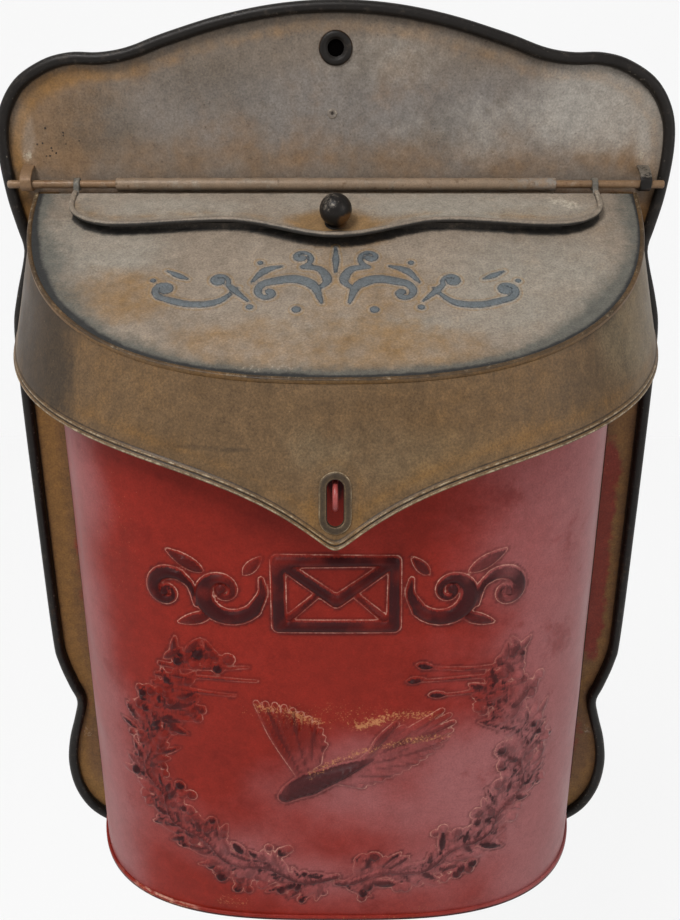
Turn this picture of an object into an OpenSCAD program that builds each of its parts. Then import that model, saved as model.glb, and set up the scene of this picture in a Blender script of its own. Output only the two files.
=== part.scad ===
// Wall letter box in painted pressed tin: scalloped back plate, bowed body,
// sloping lid with a flared apron, and a small letter flap. Millimetres.
// Origin: centre of the hanging hole, on the wall. X right, front towards -Y, Z up.

/* [Back plate] */
// Width over the rolled rim
plate_w = 301; // [285:1:330]
// Distance from the hanging hole down to the bottom edge
plate_drop = 425; // [415:1:470]
// Height of the top crest above the hanging hole
crest_h = 19; // [17:0.5:26]
// Diameter of the rolled rim
rim_d = 5.2; // [4:0.1:6]

/* [Sheet] */
// Thickness of every pressed sheet
sheet_t = 0.8; // [0.6:0.1:1.2]

/* [Hanging eyelet] */
// Diameter of the hole that takes the wall screw
hang_hole_d = 7; // [5:0.1:8]
// Outer diameter of the eyelet's flange
eyelet_d = 14.3; // [12:0.1:18]
// How far the eyelet stands out of the plate
eyelet_h = 2.2; // [1.5:0.1:4]

/* [Body] */
// Outer width of the bowed body
body_w = 247; // [225:1:252]
// Depth of the body, wall side to front
body_d = 101.6; // [85:0.2:125]
// Height of the body's bottom edge below the hanging hole
body_bottom = 386; // [320:1:400]
// Squareness of the body's plan: 2 is an ellipse, more is boxier
body_square = 3; // [2.4:0.1:4]
// Width of the flange that fixes the body to the plate
flange_w = 8.5; // [5:0.5:11]
// Height of the folded seam round the bottom
seam_h = 3; // [2:0.2:5]

/* [Lid] */
// Width of the lid's top panel at the back
lid_w = 262; // [255:1:275]
// Horizontal depth of the lid's top panel
lid_d = 98.8; // [85:0.2:125]
// Slope of the lid's top, down to the front
lid_slope = 27.5; // [20:0.5:34]
// Squareness of the lid's plan
lid_square = 2.5; // [2.2:0.1:3.2]
// Outward lean of the apron, millimetres per millimetre of fall
apron_flare = 0.31; // [0.2:0.01:0.4]
// How much less the apron leans outward at its sides than in front
apron_tuck = 0.08; // [0:0.01:0.12]
// Fall of the apron at the back corners
apron_back = 58; // [45:1:70]
// Extra fall of the pointed tongue at the front
tongue_h = 33.5; // [20:0.5:40]
// Height of the folded seam round the top panel
lid_seam_h = 3; // [2:0.2:4]
// Gap between the lid's folded seam and the body's top edge
lid_rest_gap = 0.5; // [0.3:0.1:1.5]

/* [Hinge] */
// Diameter of the hinge rod
rod_d = 3.5; // [3:0.1:4.5]
// Length of the hinge rod
rod_len = 287; // [270:1:290]
// Depth of the rod's centre line below the hanging hole
rod_drop = 55.5; // [52:0.5:60]
// Clearance between the back of the rod and the front of the plate's rim
rod_out = 0.25; // [0.05:0.05:2.05]
// Radial clearance of what turns on the rod
run_gap = 0.08; // [0.05:0.01:0.1]
// Wall of the rolled barrel and of the flap's ears
barrel_t = 0.9; // [0.7:0.1:1.2]
// Length of the rolled barrel
barrel_len = 192; // [150:2:200]
// Spacing of the two hinge clips, centre to centre
clip_span = 270; // [266:1:280]
// Width of each hinge clip
clip_w = 5; // [4:0.5:7]

/* [Letter flap] */
// Width of the flap
flap_w = 229; // [215:1:235]
// Length of the flap down its slope at the sides
flap_len = 25.5; // [20:0.5:30]
// How far the curved middle reaches past the straight front edge
flap_bow = 8; // [4:0.5:12]
// Slope of the flap
flap_slope = 22; // [18:0.5:24]
// Diameter of the rolled edge
flap_hem = 2.4; // [2:0.1:3]
// Width of the letter slot under the flap
slot_w = 190; // [150:2:200]
// Height of the letter slot, measured down the slope
slot_h = 15; // [10:0.5:16]

/* [Knob] */
// Diameter of the ball
knob_d = 13.5; // [10:0.5:16]
// Diameter of the fixing screw
screw_d = 3; // [2.5:0.1:4]

/* [Hasp] */
// Width of the slot in the apron
hasp_slot_w = 6.3; // [5:0.1:8]
// Length of the slot in the apron
hasp_slot_h = 17.9; // [15:0.1:22]
// Diameter of the staple's wire
staple_wire = 2.2; // [1.8:0.1:3]
// Height between the staple's two legs
staple_h = 9.6; // [8:0.2:11]
// How far the staple stands out of the apron
staple_out = 1.2; // [0.8:0.1:3]

/* [Hidden] */
$fn = 48;

hw = plate_w / 2;
base_z = -plate_drop;
plate_steps = 4;
eyelet_barrel_r = hang_hole_d / 2 + 0.7;
fit_gap = 0.05;
// A strip that meets a round one lies this far inside it
tangent = 0.15;
// A folded strip's ends lie this far inside the ends of what it carries
end_step = 0.3;

rod_r = rod_d / 2;
rod_centre = rim_d + rod_out + rod_d / 2;
rod_y = -rod_centre;
rod_z = -rod_drop;
bore_r = rod_r + run_gap;
barrel_r = bore_r + barrel_t;
clip_t = 1.2;
clip_rise = 7.5;
clip_slot = [clip_w + 2.5, 4.5];
clip_seat = 0.1;

body_top_z = -50;
plan_steps = 48;

// The lid's top plane starts this far in front of the wall and below the hole
lid_y = -7.5;
lid_z = rod_z - barrel_r - 1.25;
lid_len = lid_d / cos(lid_slope);
lid_half = lid_w / 2;
lid_bead = 1.2;
apron_fall_rate = 0.2;
tongue_spread = 38;
tongue_round = 3;
hem_h = 3;
hem_t = 1.8;
slot_back = 8;
slot_ring = 3.3;
slot_ring_h = 0.9;
slot_lip_t = 1;

flap_y = -11.5;
flap_z = lid_z + 0.8;
flap_half = flap_w / 2;
flap_corner = 17;
flap_corner_w = 23;
flap_bow_half = 47;
flap_wave = 3.4;
flap_steps = 12;
flap_rest_gap = 0.3;
ear_w = 2.5;

knob_r = knob_d / 2;
neck_r = 3;
neck_h = 1;
knob_s = flap_len - 1.5;
screw_head_r = 2.8;
screw_head_h = 1.6;

staple_slot_top = 3.4;

// ---- Curves ----

// One point of a Catmull-Rom curve between b and c
function curve_pt(a, b, c, d, t) =
    0.5 * (2 * b + (c - a) * t + (2 * a - 5 * b + 4 * c - d) * t * t
           + (3 * b - a - 3 * c + d) * t * t * t);

function curve(keys, steps) = [
    for (i = [0 : len(keys) - 2], j = [0 : steps - 1])
        curve_pt(i == 0 ? [-keys[1].x, keys[1].y] : keys[i - 1], keys[i], keys[i + 1],
                 i + 2 < len(keys) ? keys[i + 2] : [-keys[i].x, keys[i].y], j / steps)
];

function mirrored(half) = concat(
    half, [for (i = [len(half) - 1 : -1 : 0]) if (half[i].x > 0.01) [-half[i].x, half[i].y]]);

function unit(v) = v / norm(v);

// Moves a clockwise closed outline inwards by d
function inset(pts, d) = [
    for (i = [0 : len(pts) - 1])
        let (a = pts[(i + len(pts) - 1) % len(pts)], b = pts[(i + 1) % len(pts)],
             u = unit(b - a))
            pts[i] + d * [u.y, -u.x]
];

// Scalloped outline, right half, from the crest down to the bottom edge
plate_keys = [
    [0, crest_h], [0.16 * hw, crest_h - 1.5], [0.32 * hw, crest_h - 6],
    [0.48 * hw, crest_h - 13], [0.585 * hw, crest_h - 18.5], [0.665 * hw, crest_h - 20.5],
    [0.745 * hw, crest_h - 20.5], [0.825 * hw, crest_h - 23.5],
    [hw - 13.5, -12.5], [hw - 5.5, -25], [hw - 3, -40], [hw - 4.5, -60], [hw - 7.5, -75],
    [hw - 9.5, -84], [hw - 8, -92], [hw - 3.5, -107], [hw - 0.5, -122], [hw, -150],
    [hw, base_z + 205], [hw - 0.5, base_z + 135], [hw - 2, base_z + 119],
    [hw - 6.5, base_z + 103], [hw - 9.5, base_z + 94], [hw - 7.5, base_z + 84],
    [hw - 3, base_z + 68], [hw - 1, base_z + 52], [hw - 3, base_z + 35],
    [hw - 9.5, base_z + 21], [hw - 19.5, base_z + 12], [hw - 33, base_z + 5.5],
    [hw - 55, base_z + 1.5], [0.35 * hw, base_z], [0, base_z]
];
plate_outline = mirrored(concat(curve(plate_keys, plate_steps), [[0, base_z]]));

// Half superellipse: w is the half width, d the depth, n the squareness
function bow(w, d, n, steps) = [
    for (i = [0 : steps])
        let (a = 180 * i / steps, c = cos(a), s = sin(a))
            [w * sign(c) * pow(abs(c), 2 / n), -d * pow(abs(s), 2 / n)]
];

// ---- Back plate and what is fixed to it ----

// Flat work drawn in X and Z, pressed towards the front
module forward(from, to) translate([0, -from, 0]) rotate([90, 0, 0]) linear_extrude(to - from) children();

module ring(outer_in, inner_in) difference() {
    polygon(inset(plate_outline, outer_in));
    polygon(inset(plate_outline, inner_in));
}

module back_plate() color("#8d7a68") difference() {
    bevel = rim_d * 0.3;
    union() {
        forward(0, sheet_t) polygon(inset(plate_outline, rim_d / 2));
        forward(0, bevel) ring(bevel, rim_d - bevel);
        forward(bevel, rim_d - bevel) ring(0, rim_d);
        forward(rim_d - bevel, rim_d) ring(bevel, rim_d - bevel);
    }
    rotate([90, 0, 0]) cylinder(r = eyelet_barrel_r + fit_gap, h = 4 * sheet_t, center = true);
    for (side = [-1, 1])
        translate([side * (clip_span / 2 - (clip_slot.x - clip_w) / 2 + 0.5), 0,
                   rod_z + clip_rise - clip_slot.y / 2 + 0.3])
            cube([clip_slot.x, 4 * sheet_t, clip_slot.y], center = true);
}

module hanging_eyelet() color("#4a4640") rotate([90, 0, 0]) difference() {
    rotate_extrude() polygon([
        [0, 0], [eyelet_barrel_r, 0], [eyelet_barrel_r, sheet_t], [eyelet_d / 2, sheet_t],
        [eyelet_d / 2, sheet_t + 0.6], [eyelet_d / 2 - 1.3, eyelet_h],
        [eyelet_d / 2 - 2.3, eyelet_h], [hang_hole_d / 2, eyelet_h - 0.7], [0, eyelet_h - 0.7]
    ]);
    cylinder(d = hang_hole_d, h = 4 * eyelet_h, center = true);
}

// Side view of a clip: Y and Z about the rod, the rod's seat left open
module clip_profile() {
    front = -rod_r - clip_seat - clip_t;
    under = -rod_r - clip_seat - clip_t;
    difference() {
        polygon([
            [rod_centre, clip_rise], [front + 1, clip_rise - 2.6], [front, clip_rise - 3.6],
            [front, under + 1], [front + 1, under], [rod_centre - sheet_t, under],
            [rod_centre - sheet_t, clip_rise - clip_t - 0.3], [rod_centre, clip_rise - clip_t]
        ]);
        polygon([
            [rod_centre - sheet_t - 1, clip_rise - clip_t - 0.5],
            [front + clip_t + 0.2, clip_rise - clip_t - 2.7],
            [front + clip_t + 0.2, 0], [0, 0], [0, under + clip_t],
            [rod_centre - sheet_t - 1, under + clip_t]
        ]);
        circle(r = rod_r + clip_seat);
    }
}

module hinge_clip(x) color("#6b6760")
    translate([x - clip_w / 2, rod_y, rod_z]) rotate([90, 0, 90]) linear_extrude(clip_w) clip_profile();

module hinge_clip_left() hinge_clip(-clip_span / 2);
module hinge_clip_right() hinge_clip(clip_span / 2);

module hinge_rod() color("#7b6a5a")
    translate([-rod_len / 2, rod_y, rod_z]) rotate([0, 90, 0]) cylinder(r = rod_r, h = rod_len);

// ---- Body ----

function body_line(grow) =
    bow(body_w / 2 + grow, body_d - sheet_t + grow, body_square, plan_steps);

module body_plan(grow) polygon(body_line(grow));

// The wrapped wall and its two flanges as one strip
module body_strip() {
    outer = body_line(0);
    inner = body_line(-sheet_t);
    side = body_w / 2;
    fold = side + (side - outer[1].x) * sheet_t / outer[1].y;
    polygon(concat(
        [[side + flange_w, 0], [side + flange_w, -sheet_t], [fold, -sheet_t]],
        [for (i = [1 : plan_steps - 1]) outer[i]],
        [[-fold, -sheet_t], [-side - flange_w, -sheet_t], [-side - flange_w, 0]],
        [for (i = [plan_steps : -1 : 0]) inner[i]]
    ));
}

// Everything above a plane parallel to the lid's top, this far below it
module above_lid_line(drop) translate([0, lid_y, lid_z]) rotate([lid_slope, 0, 0])
    translate([-200, -300, -drop]) cube([400, 400, 300]);

module body_shell() color("#9b2f2a") difference() {
    translate([0, -sheet_t, -body_bottom + sheet_t])
        linear_extrude(body_bottom - sheet_t + body_top_z) body_strip();
    above_lid_line(lid_seam_h + lid_rest_gap);
    for (z = [staple_top_z, staple_top_z - staple_h])
        translate([0, -body_d, z]) rotate([90, 0, 0])
            cylinder(d = staple_wire + 2 * fit_gap, h = 8, center = true);
}

module bottom_panel() color("#4a2523") translate([0, -sheet_t, -body_bottom]) {
    linear_extrude(sheet_t) body_plan(sheet_t);
    translate([0, 0, sheet_t]) linear_extrude(seam_h - sheet_t) difference() {
        body_plan(sheet_t);
        body_plan(0);
        translate([-body_w, -sheet_t]) square([2 * body_w, 2 * sheet_t]);
    }
}

// Where the staple's upper leg runs, tied to the slot in the apron
slot_mid_fall = apron_back + apron_fall_rate * lid_len + tongue_h - lid_len * sin(lid_slope) - 17.5;
slot_mid_y = lid_y - lid_d - apron_flare * slot_mid_fall;
slot_mid_z = lid_z - lid_len * sin(lid_slope) - slot_mid_fall;
staple_top_z = slot_mid_z + hasp_slot_h / 2 - staple_slot_top;

module hasp_staple() color("#9b2f2a") {
    r = staple_wire / 2;
    inside = 1.2;
    bend = staple_h / 2;
    straight = -slot_mid_y + staple_out - bend - r;
    for (z = [staple_top_z, staple_top_z - staple_h]) {
        translate([0, -straight, z]) rotate([-90, 0, 0]) cylinder(r = r, h = straight - body_d + sheet_t + inside);
        translate([0, -body_d + sheet_t + fit_gap, z]) rotate([-90, 0, 0]) cylinder(r = r + 1, h = inside);
    }
    translate([0, -straight, staple_top_z - bend]) rotate([0, 90, 0])
        rotate([0, 0, 180]) rotate_extrude(angle = 180) translate([bend, 0]) circle(r = r);
}

// ---- Lid ----

module on_lid() translate([0, lid_y, lid_z]) rotate([lid_slope, 0, 0]) children();

module lid_plan(grow) intersection() {
    polygon(concat(bow(lid_half + grow, lid_len + grow, lid_square, plan_steps),
                   [[-lid_half - grow, 1], [lid_half + grow, 1]]));
    translate([-lid_w, -2 * lid_len]) square([2 * lid_w, 2 * lid_len]);
}

module slot_frame(grow) translate([-slot_w / 2 - grow, -slot_back - slot_h - grow])
    square([slot_w + 2 * grow, slot_h + 2 * grow]);

// Everything above the resting underside of the flap
module above_flap_line() translate([0, flap_y, flap_z]) rotate([flap_slope, 0, 0])
    translate([-200, -200, -sheet_t - flap_rest_gap]) cube([400, 400, 100]);

module lid_top() color("#9d9282") {
    web_back = rod_y + barrel_r - tangent;
    difference() {
        union() {
            on_lid() translate([0, 0, -sheet_t]) linear_extrude(sheet_t) {
                lid_plan(0);
                back = (web_back - barrel_t / 2 - lid_y) / cos(lid_slope);
                translate([end_step - barrel_len / 2, -1])
                    square([barrel_len - 2 * end_step, 1 + back]);
            }
            translate([-barrel_len / 2, web_back - barrel_t, rod_z - barrel_r - 1.2])
                cube([barrel_len, barrel_t, barrel_r + 1.2]);
            translate([-barrel_len / 2, rod_y, rod_z]) rotate([0, 90, 0])
                cylinder(r = barrel_r, h = barrel_len);
        }
        translate([-barrel_len / 2 - 1, rod_y, rod_z]) rotate([0, 90, 0])
            cylinder(r = bore_r, h = barrel_len + 2);
        on_lid() translate([0, 0, -5]) linear_extrude(10) slot_frame(0);
    }
    on_lid() translate([0, 0, -lid_seam_h]) linear_extrude(lid_seam_h + 0.5) difference() {
        lid_plan(lid_bead);
        lid_plan(-sheet_t);
    }
    difference() {
        on_lid() translate([0, 0, -sheet_t]) linear_extrude(8) difference() {
            slot_frame(slot_lip_t);
            slot_frame(0);
        }
        above_flap_line();
    }
}

// Fall of the apron below the top panel's edge at a point of its outline
function apron_fall(q) =
    apron_back + apron_fall_rate * -q.y + q.y * sin(lid_slope)
    + tongue_h * exp(-(norm([q.x, tongue_round]) - tongue_round) / tongue_spread);

// Lean of the apron at a point of its outline: full in front, less at the sides
function flare(q) = apron_flare - apron_tuck * pow(q.x / lid_half, 2);

// Outward direction in plan at a point of the lid's outline
function lean(q) = let (a = pow(abs(q.x) / lid_half, lid_square - 1) / lid_half,
                        b = pow(-q.y / lid_len, lid_square - 1) / lid_len / cos(lid_slope))
    unit([sign(q.x) * a, -b]);

// Point of the apron: fall below the edge, and offset out of the sheet
function apron_pt(q, fall, out) =
    let (n = lean(q), e = flare(q) * fall + out)
        [q.x + n.x * e, lid_y + q.y * cos(lid_slope) + n.y * e,
         lid_z + q.y * sin(lid_slope) - fall];

// Fall at which the apron leaves the folded seam
function seam_fall(q, out) = let (k = -lean(q).y * sin(lid_slope))
    (lid_seam_h + k * out) / (cos(lid_slope) - k * flare(q));

function apron_section(q) = let (low = apron_fall(q), top = seam_fall(q, 0), topi = seam_fall(q, -sheet_t)) [
    apron_pt(q, top, 0), apron_pt(q, low - hem_h, 0),
    apron_pt(q, low - hem_h + 0.6, 0.6), apron_pt(q, low - 0.4, 0.6),
    apron_pt(q, low, 0), apron_pt(q, low, sheet_t - hem_t),
    apron_pt(q, low - hem_h, 0.6 - hem_t), apron_pt(q, low - hem_h - 0.4, -sheet_t),
    apron_pt(q, topi, -sheet_t)
];

module apron_sheet() {
    path = bow(lid_half, lid_len, lid_square, 2 * plan_steps);
    rings = [for (q = path) apron_section([q.x, min(q.y, -0.001)])];
    m = len(rings[0]);
    polyhedron(
        points = [for (r = rings, p = r) p],
        faces = concat(
            [[for (j = [m - 1 : -1 : 0]) j]],
            [for (i = [0 : len(rings) - 2], j = [0 : m - 1], k = [0, 1])
                let (a = i * m + j, b = i * m + (j + 1) % m)
                    k == 0 ? [a, b, a + m] : [b, b + m, a + m]],
            [[for (j = [0 : m - 1]) (len(rings) - 1) * m + j]]
        )
    );
}

// Upright slot with round ends, centred, cut along its own Z
module oblong(w, h, t) linear_extrude(t, center = true) {
    for (side = [-1, 1]) translate([0, side * (h - w) / 2]) circle(d = w);
    square([w, h - w], center = true);
}

module on_hasp() translate([0, slot_mid_y, slot_mid_z])
    rotate([90 - atan(apron_flare), 0, 0]) children();

module lid_skirt() color("#6b5a41") difference() {
    union() {
        apron_sheet();
        on_hasp() translate([0, 0, slot_ring_h / 2 - 0.4])
            oblong(hasp_slot_w + 2 * slot_ring, hasp_slot_h + 2 * slot_ring, slot_ring_h + 0.8);
    }
    on_hasp() oblong(hasp_slot_w, hasp_slot_h, 12);
}

// ---- Letter flap ----

module on_flap() translate([0, flap_y, flap_z]) rotate([flap_slope, 0, 0]) children();

// How far the flap's front edge reaches at a place across: a bow in the middle, a hollow either side
function flap_reach(x, l) = let (far = flap_half - flap_corner_w, a = abs(x))
    a < flap_bow_half
        ? l - flap_wave + (flap_bow + flap_wave) * pow(cos(90 * a / flap_bow_half), 2)
        : l - flap_wave * pow(cos(90 * (a - flap_bow_half) / (far - flap_bow_half)), 2);

// Front edge of the flap, from the right-hand back corner to the left
function flap_edge(grow) =
    let (w = flap_half + grow, l = flap_len + grow, cy = flap_corner + grow, cx = flap_corner_w + grow,
         far = flap_half - flap_corner_w)
    concat(
        [[w, 0]],
        [for (a = [0 : 7.5 : 82.5]) [w - cx + cx * cos(a), -l + cy - cy * sin(a)]],
        [for (k = [0 : flap_steps]) let (x = far + (flap_bow_half - far) * k / flap_steps) [x, -flap_reach(x, l)]],
        [for (k = [1 : 2 * flap_steps - 1]) let (x = flap_bow_half * (1 - k / flap_steps)) [x, -flap_reach(x, l)]],
        [for (k = [0 : flap_steps]) let (x = -flap_bow_half - (far - flap_bow_half) * k / flap_steps) [x, -flap_reach(x, l)]],
        [for (a = [82.5 : -7.5 : 0]) [-w + cx - cx * cos(a), -l + cy - cy * sin(a)]],
        [[-w, 0]]
    );

module letter_flap() color("#9d9282") {
    foot = [0, -knob_s, 0];
    difference() {
        on_flap() {
            translate([0, 0, -sheet_t]) linear_extrude(sheet_t) polygon(flap_edge(0));
            translate([0, 0, -sheet_t]) linear_extrude(flap_hem) difference() {
                polygon(flap_edge(0));
                polygon(flap_edge(-flap_hem));
                translate([-flap_half + flap_hem, -1]) square([flap_w - 2 * flap_hem, 2]);
            }
        }
        on_flap() translate(foot) cylinder(d = screw_d + 2 * fit_gap, h = 6, center = true);
    }
    for (side = [-1, 1])
        translate([side * (flap_half - end_step - ear_w / 2) - ear_w / 2, rod_y, rod_z])
        rotate([90, 0, 90]) linear_extrude(ear_w) difference() {
            union() {
                circle(r = barrel_r);
                polygon([[0, barrel_r - tangent], [flap_y - rod_y - 1, flap_z - rod_z + 1.5],
                         [flap_y - rod_y - 1, flap_z - rod_z - 1],
                         [flap_y - rod_y + 1, flap_z - rod_z - 0.2], [0, tangent - barrel_r]]);
            }
            circle(r = bore_r);
        }
}

module flap_knob() color("#4a4640") on_flap() translate([0, -knob_s, 0]) difference() {
    union() {
        translate([0, 0, neck_h + knob_r * 0.92]) sphere(r = knob_r);
        cylinder(r = neck_r, h = neck_h + knob_r * 0.5);
    }
    translate([0, 0, -1]) cylinder(d = screw_d + 2 * fit_gap, h = 7);
}

module knob_screw() color("#5a554d") on_flap() translate([0, -knob_s, 0]) {
    translate([0, 0, -sheet_t - screw_head_h]) cylinder(r = screw_head_r, h = screw_head_h);
    translate([0, 0, -sheet_t - screw_head_h]) cylinder(d = screw_d, h = sheet_t + screw_head_h + 5);
}

back_plate();
hanging_eyelet();
hinge_clip_left();
hinge_clip_right();
hinge_rod();
body_shell();
bottom_panel();
hasp_staple();
lid_top();
lid_skirt();
letter_flap();
flap_knob();
knob_screw();
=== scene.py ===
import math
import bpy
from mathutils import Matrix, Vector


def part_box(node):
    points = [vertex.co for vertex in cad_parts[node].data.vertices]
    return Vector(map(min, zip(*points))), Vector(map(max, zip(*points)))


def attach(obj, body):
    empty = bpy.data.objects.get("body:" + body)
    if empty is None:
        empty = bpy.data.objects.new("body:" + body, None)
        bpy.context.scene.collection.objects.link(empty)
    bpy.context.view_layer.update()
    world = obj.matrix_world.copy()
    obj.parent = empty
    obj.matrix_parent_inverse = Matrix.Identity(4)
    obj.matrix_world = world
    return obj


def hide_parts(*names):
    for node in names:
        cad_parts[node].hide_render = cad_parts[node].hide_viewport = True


bl_info = {
    "name": "Wall Letter Box",
    "version": (1, 0, 0),
    "blender": (4, 5, 0),
    "location": "View3D > Sidebar > Letter Box",
    "description": "Builds a weathered tin wall letter box round its fixed frame",
    "category": "Add Mesh",
}

import bmesh
import bpy
import numpy as np
from mathutils import Vector

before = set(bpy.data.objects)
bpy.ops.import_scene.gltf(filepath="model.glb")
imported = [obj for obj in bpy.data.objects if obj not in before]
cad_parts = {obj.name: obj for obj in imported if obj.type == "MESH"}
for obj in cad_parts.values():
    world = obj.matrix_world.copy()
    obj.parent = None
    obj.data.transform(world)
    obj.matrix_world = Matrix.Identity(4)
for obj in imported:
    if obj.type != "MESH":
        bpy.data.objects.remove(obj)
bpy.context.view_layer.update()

MM = 0.001


def box_mm(node):
    """Corners of a frame node in millimetres."""
    low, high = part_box(node)
    return np.array(low) / MM, np.array(high) / MM


# ---- Sizes in millimetres, taken from the frame where it has them ----

PLATE_LO, PLATE_HI = box_mm("back_plate")
EYE_R = box_mm("hanging_eyelet")[1][0]
ROD_LO, ROD_HI = box_mm("hinge_rod")
BODY_LO, BODY_HI = box_mm("body_shell")
FLOOR_LO, FLOOR_HI = box_mm("bottom_panel")
KNOB_LO, KNOB_HI = box_mm("flap_knob")
CLIP_LO, CLIP_HI = box_mm("hinge_clip_right")
STAPLE_LO, STAPLE_HI = box_mm("hasp_staple")

SHEET = 0.8
RIM_R = -PLATE_LO[1] / 2
HOLE_R = 3.5
ROD_R = (ROD_HI[2] - ROD_LO[2]) / 2
ROD_Y = (ROD_HI[1] + ROD_LO[1]) / 2
ROD_Z = (ROD_HI[2] + ROD_LO[2]) / 2
BORE_R = ROD_R + 0.08
BARREL_R = BORE_R + 0.9
BARREL_HALF = 96.0

LID_Y = float(box_mm("lid_skirt")[1][1])
LID_Z = ROD_Z - BARREL_R - 1.25
LID_SLOPE = math.radians(27.5)
LID_HALF = 131.0
LID_DEPTH = 98.8
LID_LEN = LID_DEPTH / math.cos(LID_SLOPE)
LID_DROP = LID_LEN * math.sin(LID_SLOPE)
LID_SQUARE = 2.5
SEAM_H = 3.0

APRON_H = 58
APRON_GAIN = 0.2
TONGUE_H = 33.5
TONGUE_SPREAD = 38
FLARE = 0.31
TUCK = 0.08
HASP_W = 6.3
HASP_H = 17.9
HASP_FALL = APRON_H + APRON_GAIN * LID_LEN + TONGUE_H - LID_DROP - 17.5
HASP_Y = LID_Y - LID_DEPTH - FLARE * HASP_FALL
HASP_Z = LID_Z - LID_DROP - HASP_FALL

BODY_HALF = float(FLOOR_HI[0]) - SHEET
BODY_DEPTH = -float(BODY_LO[1])
BODY_SQUARE = 3.0
STAPLE_Z = float(STAPLE_LO[2] + STAPLE_HI[2]) / 2

FLAP_HALF = float(box_mm("letter_flap")[1][0])
FLAP_Y = -11.5
FLAP_Z = LID_Z + 0.8
FLAP_SLOPE = math.radians(22)
FLAP_LEN = 25.5
FLAP_BOW = 8.0
FLAP_BOW_HALF = 47.0
FLAP_WAVE = 3.4
FLAP_CORNER = (23.0, 17.0)
FLAP_HEM = 2.4
SLOT_HALF = 95.0
SLOT_BACK = 8.0
SLOT_H = 15.0

UNMARKED = -6.0  # the "mark" mask far outside any ornament


# ---- Sizes and colours a user would change ----


def rgb(text):
    """sRGB hex to linear colour with alpha."""
    channel = [int(text[i : i + 2], 16) / 255 for i in (1, 3, 5)]
    return tuple(c / 12.92 if c <= 0.04045 else ((c + 0.055) / 1.055) ** 2.4 for c in channel) + (1.0,)


class LetterBoxSizes(bpy.types.PropertyGroup):
    relief: bpy.props.FloatProperty(
        name="Relief height", description="How far the pressed ornament stands out",
        default=0.0021, min=0.0, max=0.003, precision=5, unit="LENGTH")
    scroll: bpy.props.FloatProperty(
        name="Scroll height", description="How far the lid's scrolls stand out",
        default=0.0005, min=0.0, max=0.001, precision=5, unit="LENGTH")
    relief_step: bpy.props.FloatProperty(
        name="Relief mesh step", description="Mesh spacing over the ornament",
        default=0.00112, min=0.0008, max=0.004, precision=5, unit="LENGTH")
    dent: bpy.props.FloatProperty(
        name="Dents", description="Depth of the sheet's gentle dents",
        default=0.00022, min=0.0, max=0.0004, precision=5, unit="LENGTH")


class LetterBoxColours(bpy.types.PropertyGroup):
    plate: bpy.props.FloatVectorProperty(
        name="Plate paint", description="Aged taupe paint of the back plate",
        default=rgb("#74685c"), size=4, min=0.0, max=1.0, subtype="COLOR")
    lid: bpy.props.FloatVectorProperty(
        name="Lid paint", description="Aged grey-beige paint of the lid's top",
        default=rgb("#897b6c"), size=4, min=0.0, max=1.0, subtype="COLOR")
    apron: bpy.props.FloatVectorProperty(
        name="Apron paint", description="Aged brown paint of the apron",
        default=rgb("#644d33"), size=4, min=0.0, max=1.0, subtype="COLOR")
    body: bpy.props.FloatVectorProperty(
        name="Body paint", description="Aged red enamel of the body",
        default=rgb("#84251b"), size=4, min=0.0, max=1.0, subtype="COLOR")
    iron: bpy.props.FloatVectorProperty(
        name="Iron", description="Bare dark iron of rim, eyelet and knob",
        default=rgb("#1c1815"), size=4, min=0.0, max=1.0, subtype="COLOR")


# ---- Fields: noise, steps and patches ----


def hash_noise(x, y, seed):
    """Smooth value noise with a cell of one unit, from 0 to 1."""
    x, y = np.asarray(x, float), np.asarray(y, float)
    xi, yi = np.floor(x), np.floor(y)
    fx, fy = x - xi, y - yi
    fx, fy = fx * fx * (3 - 2 * fx), fy * fy * (3 - 2 * fy)

    def corner(i, j):
        v = np.sin(i * 127.1 + j * 311.7 + seed * 74.7) * 43758.5453
        return v - np.floor(v)

    a, b = corner(xi, yi), corner(xi + 1, yi)
    c, d = corner(xi, yi + 1), corner(xi + 1, yi + 1)
    return (a * (1 - fx) + b * fx) * (1 - fy) + (c * (1 - fx) + d * fx) * fy


def cloud(x, y, size, seed, octaves=3):
    """Layered noise about features of size millimetres, from 0 to 1."""
    total, gain, norm = 0, 1.0, 0
    for k in range(octaves):
        total = total + gain * hash_noise(x / size * 2**k, y / size * 2**k, seed + 13 * k)
        norm += gain
        gain *= 0.5
    return total / norm


def dents(x, y, size, seed, share=1.0):
    """Gentle dents of a sheet, in or out, in millimetres."""
    return share * bpy.context.scene.letterbox_sizes.dent / MM * (cloud(x, y, size, seed) - 0.5)


def step(low, high, v):
    """Smooth rise from 0 at low to 1 at high."""
    t = np.clip((v - low) / (high - low), 0, 1)
    return t * t * (3 - 2 * t)


def ridge(v, middle, width):
    """Bell of height 1 round the middle."""
    return np.exp(-(((v - middle) / width) ** 2))


def fade(v, width):
    """Height 1 at zero, falling off to both sides."""
    return np.exp(-np.abs(v) / width)


def past(v, low):
    """How far a value is past low, never under 0."""
    return np.clip(v - low, 0, None)


def spots(x, y, *rows):
    """Sum of soft oval patches, each row its strength, centre and two radii."""
    total = 0
    for strength, cx, cy, rx, ry in rows:
        total = total + strength * (1 - step(0.35, 1.0, np.hypot((x - cx) / rx, (y - cy) / ry)))
    return total


# ---- Lines and sections ----


def spline(a, b, c, d, t):
    """Smooth curve from b to c, with a and d before and after."""
    return 0.5 * (2 * b + (c - a) * t + (2 * a - 5 * b + 4 * c - d) * t**2 + (3 * b - a - 3 * c + d) * t**3)


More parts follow.
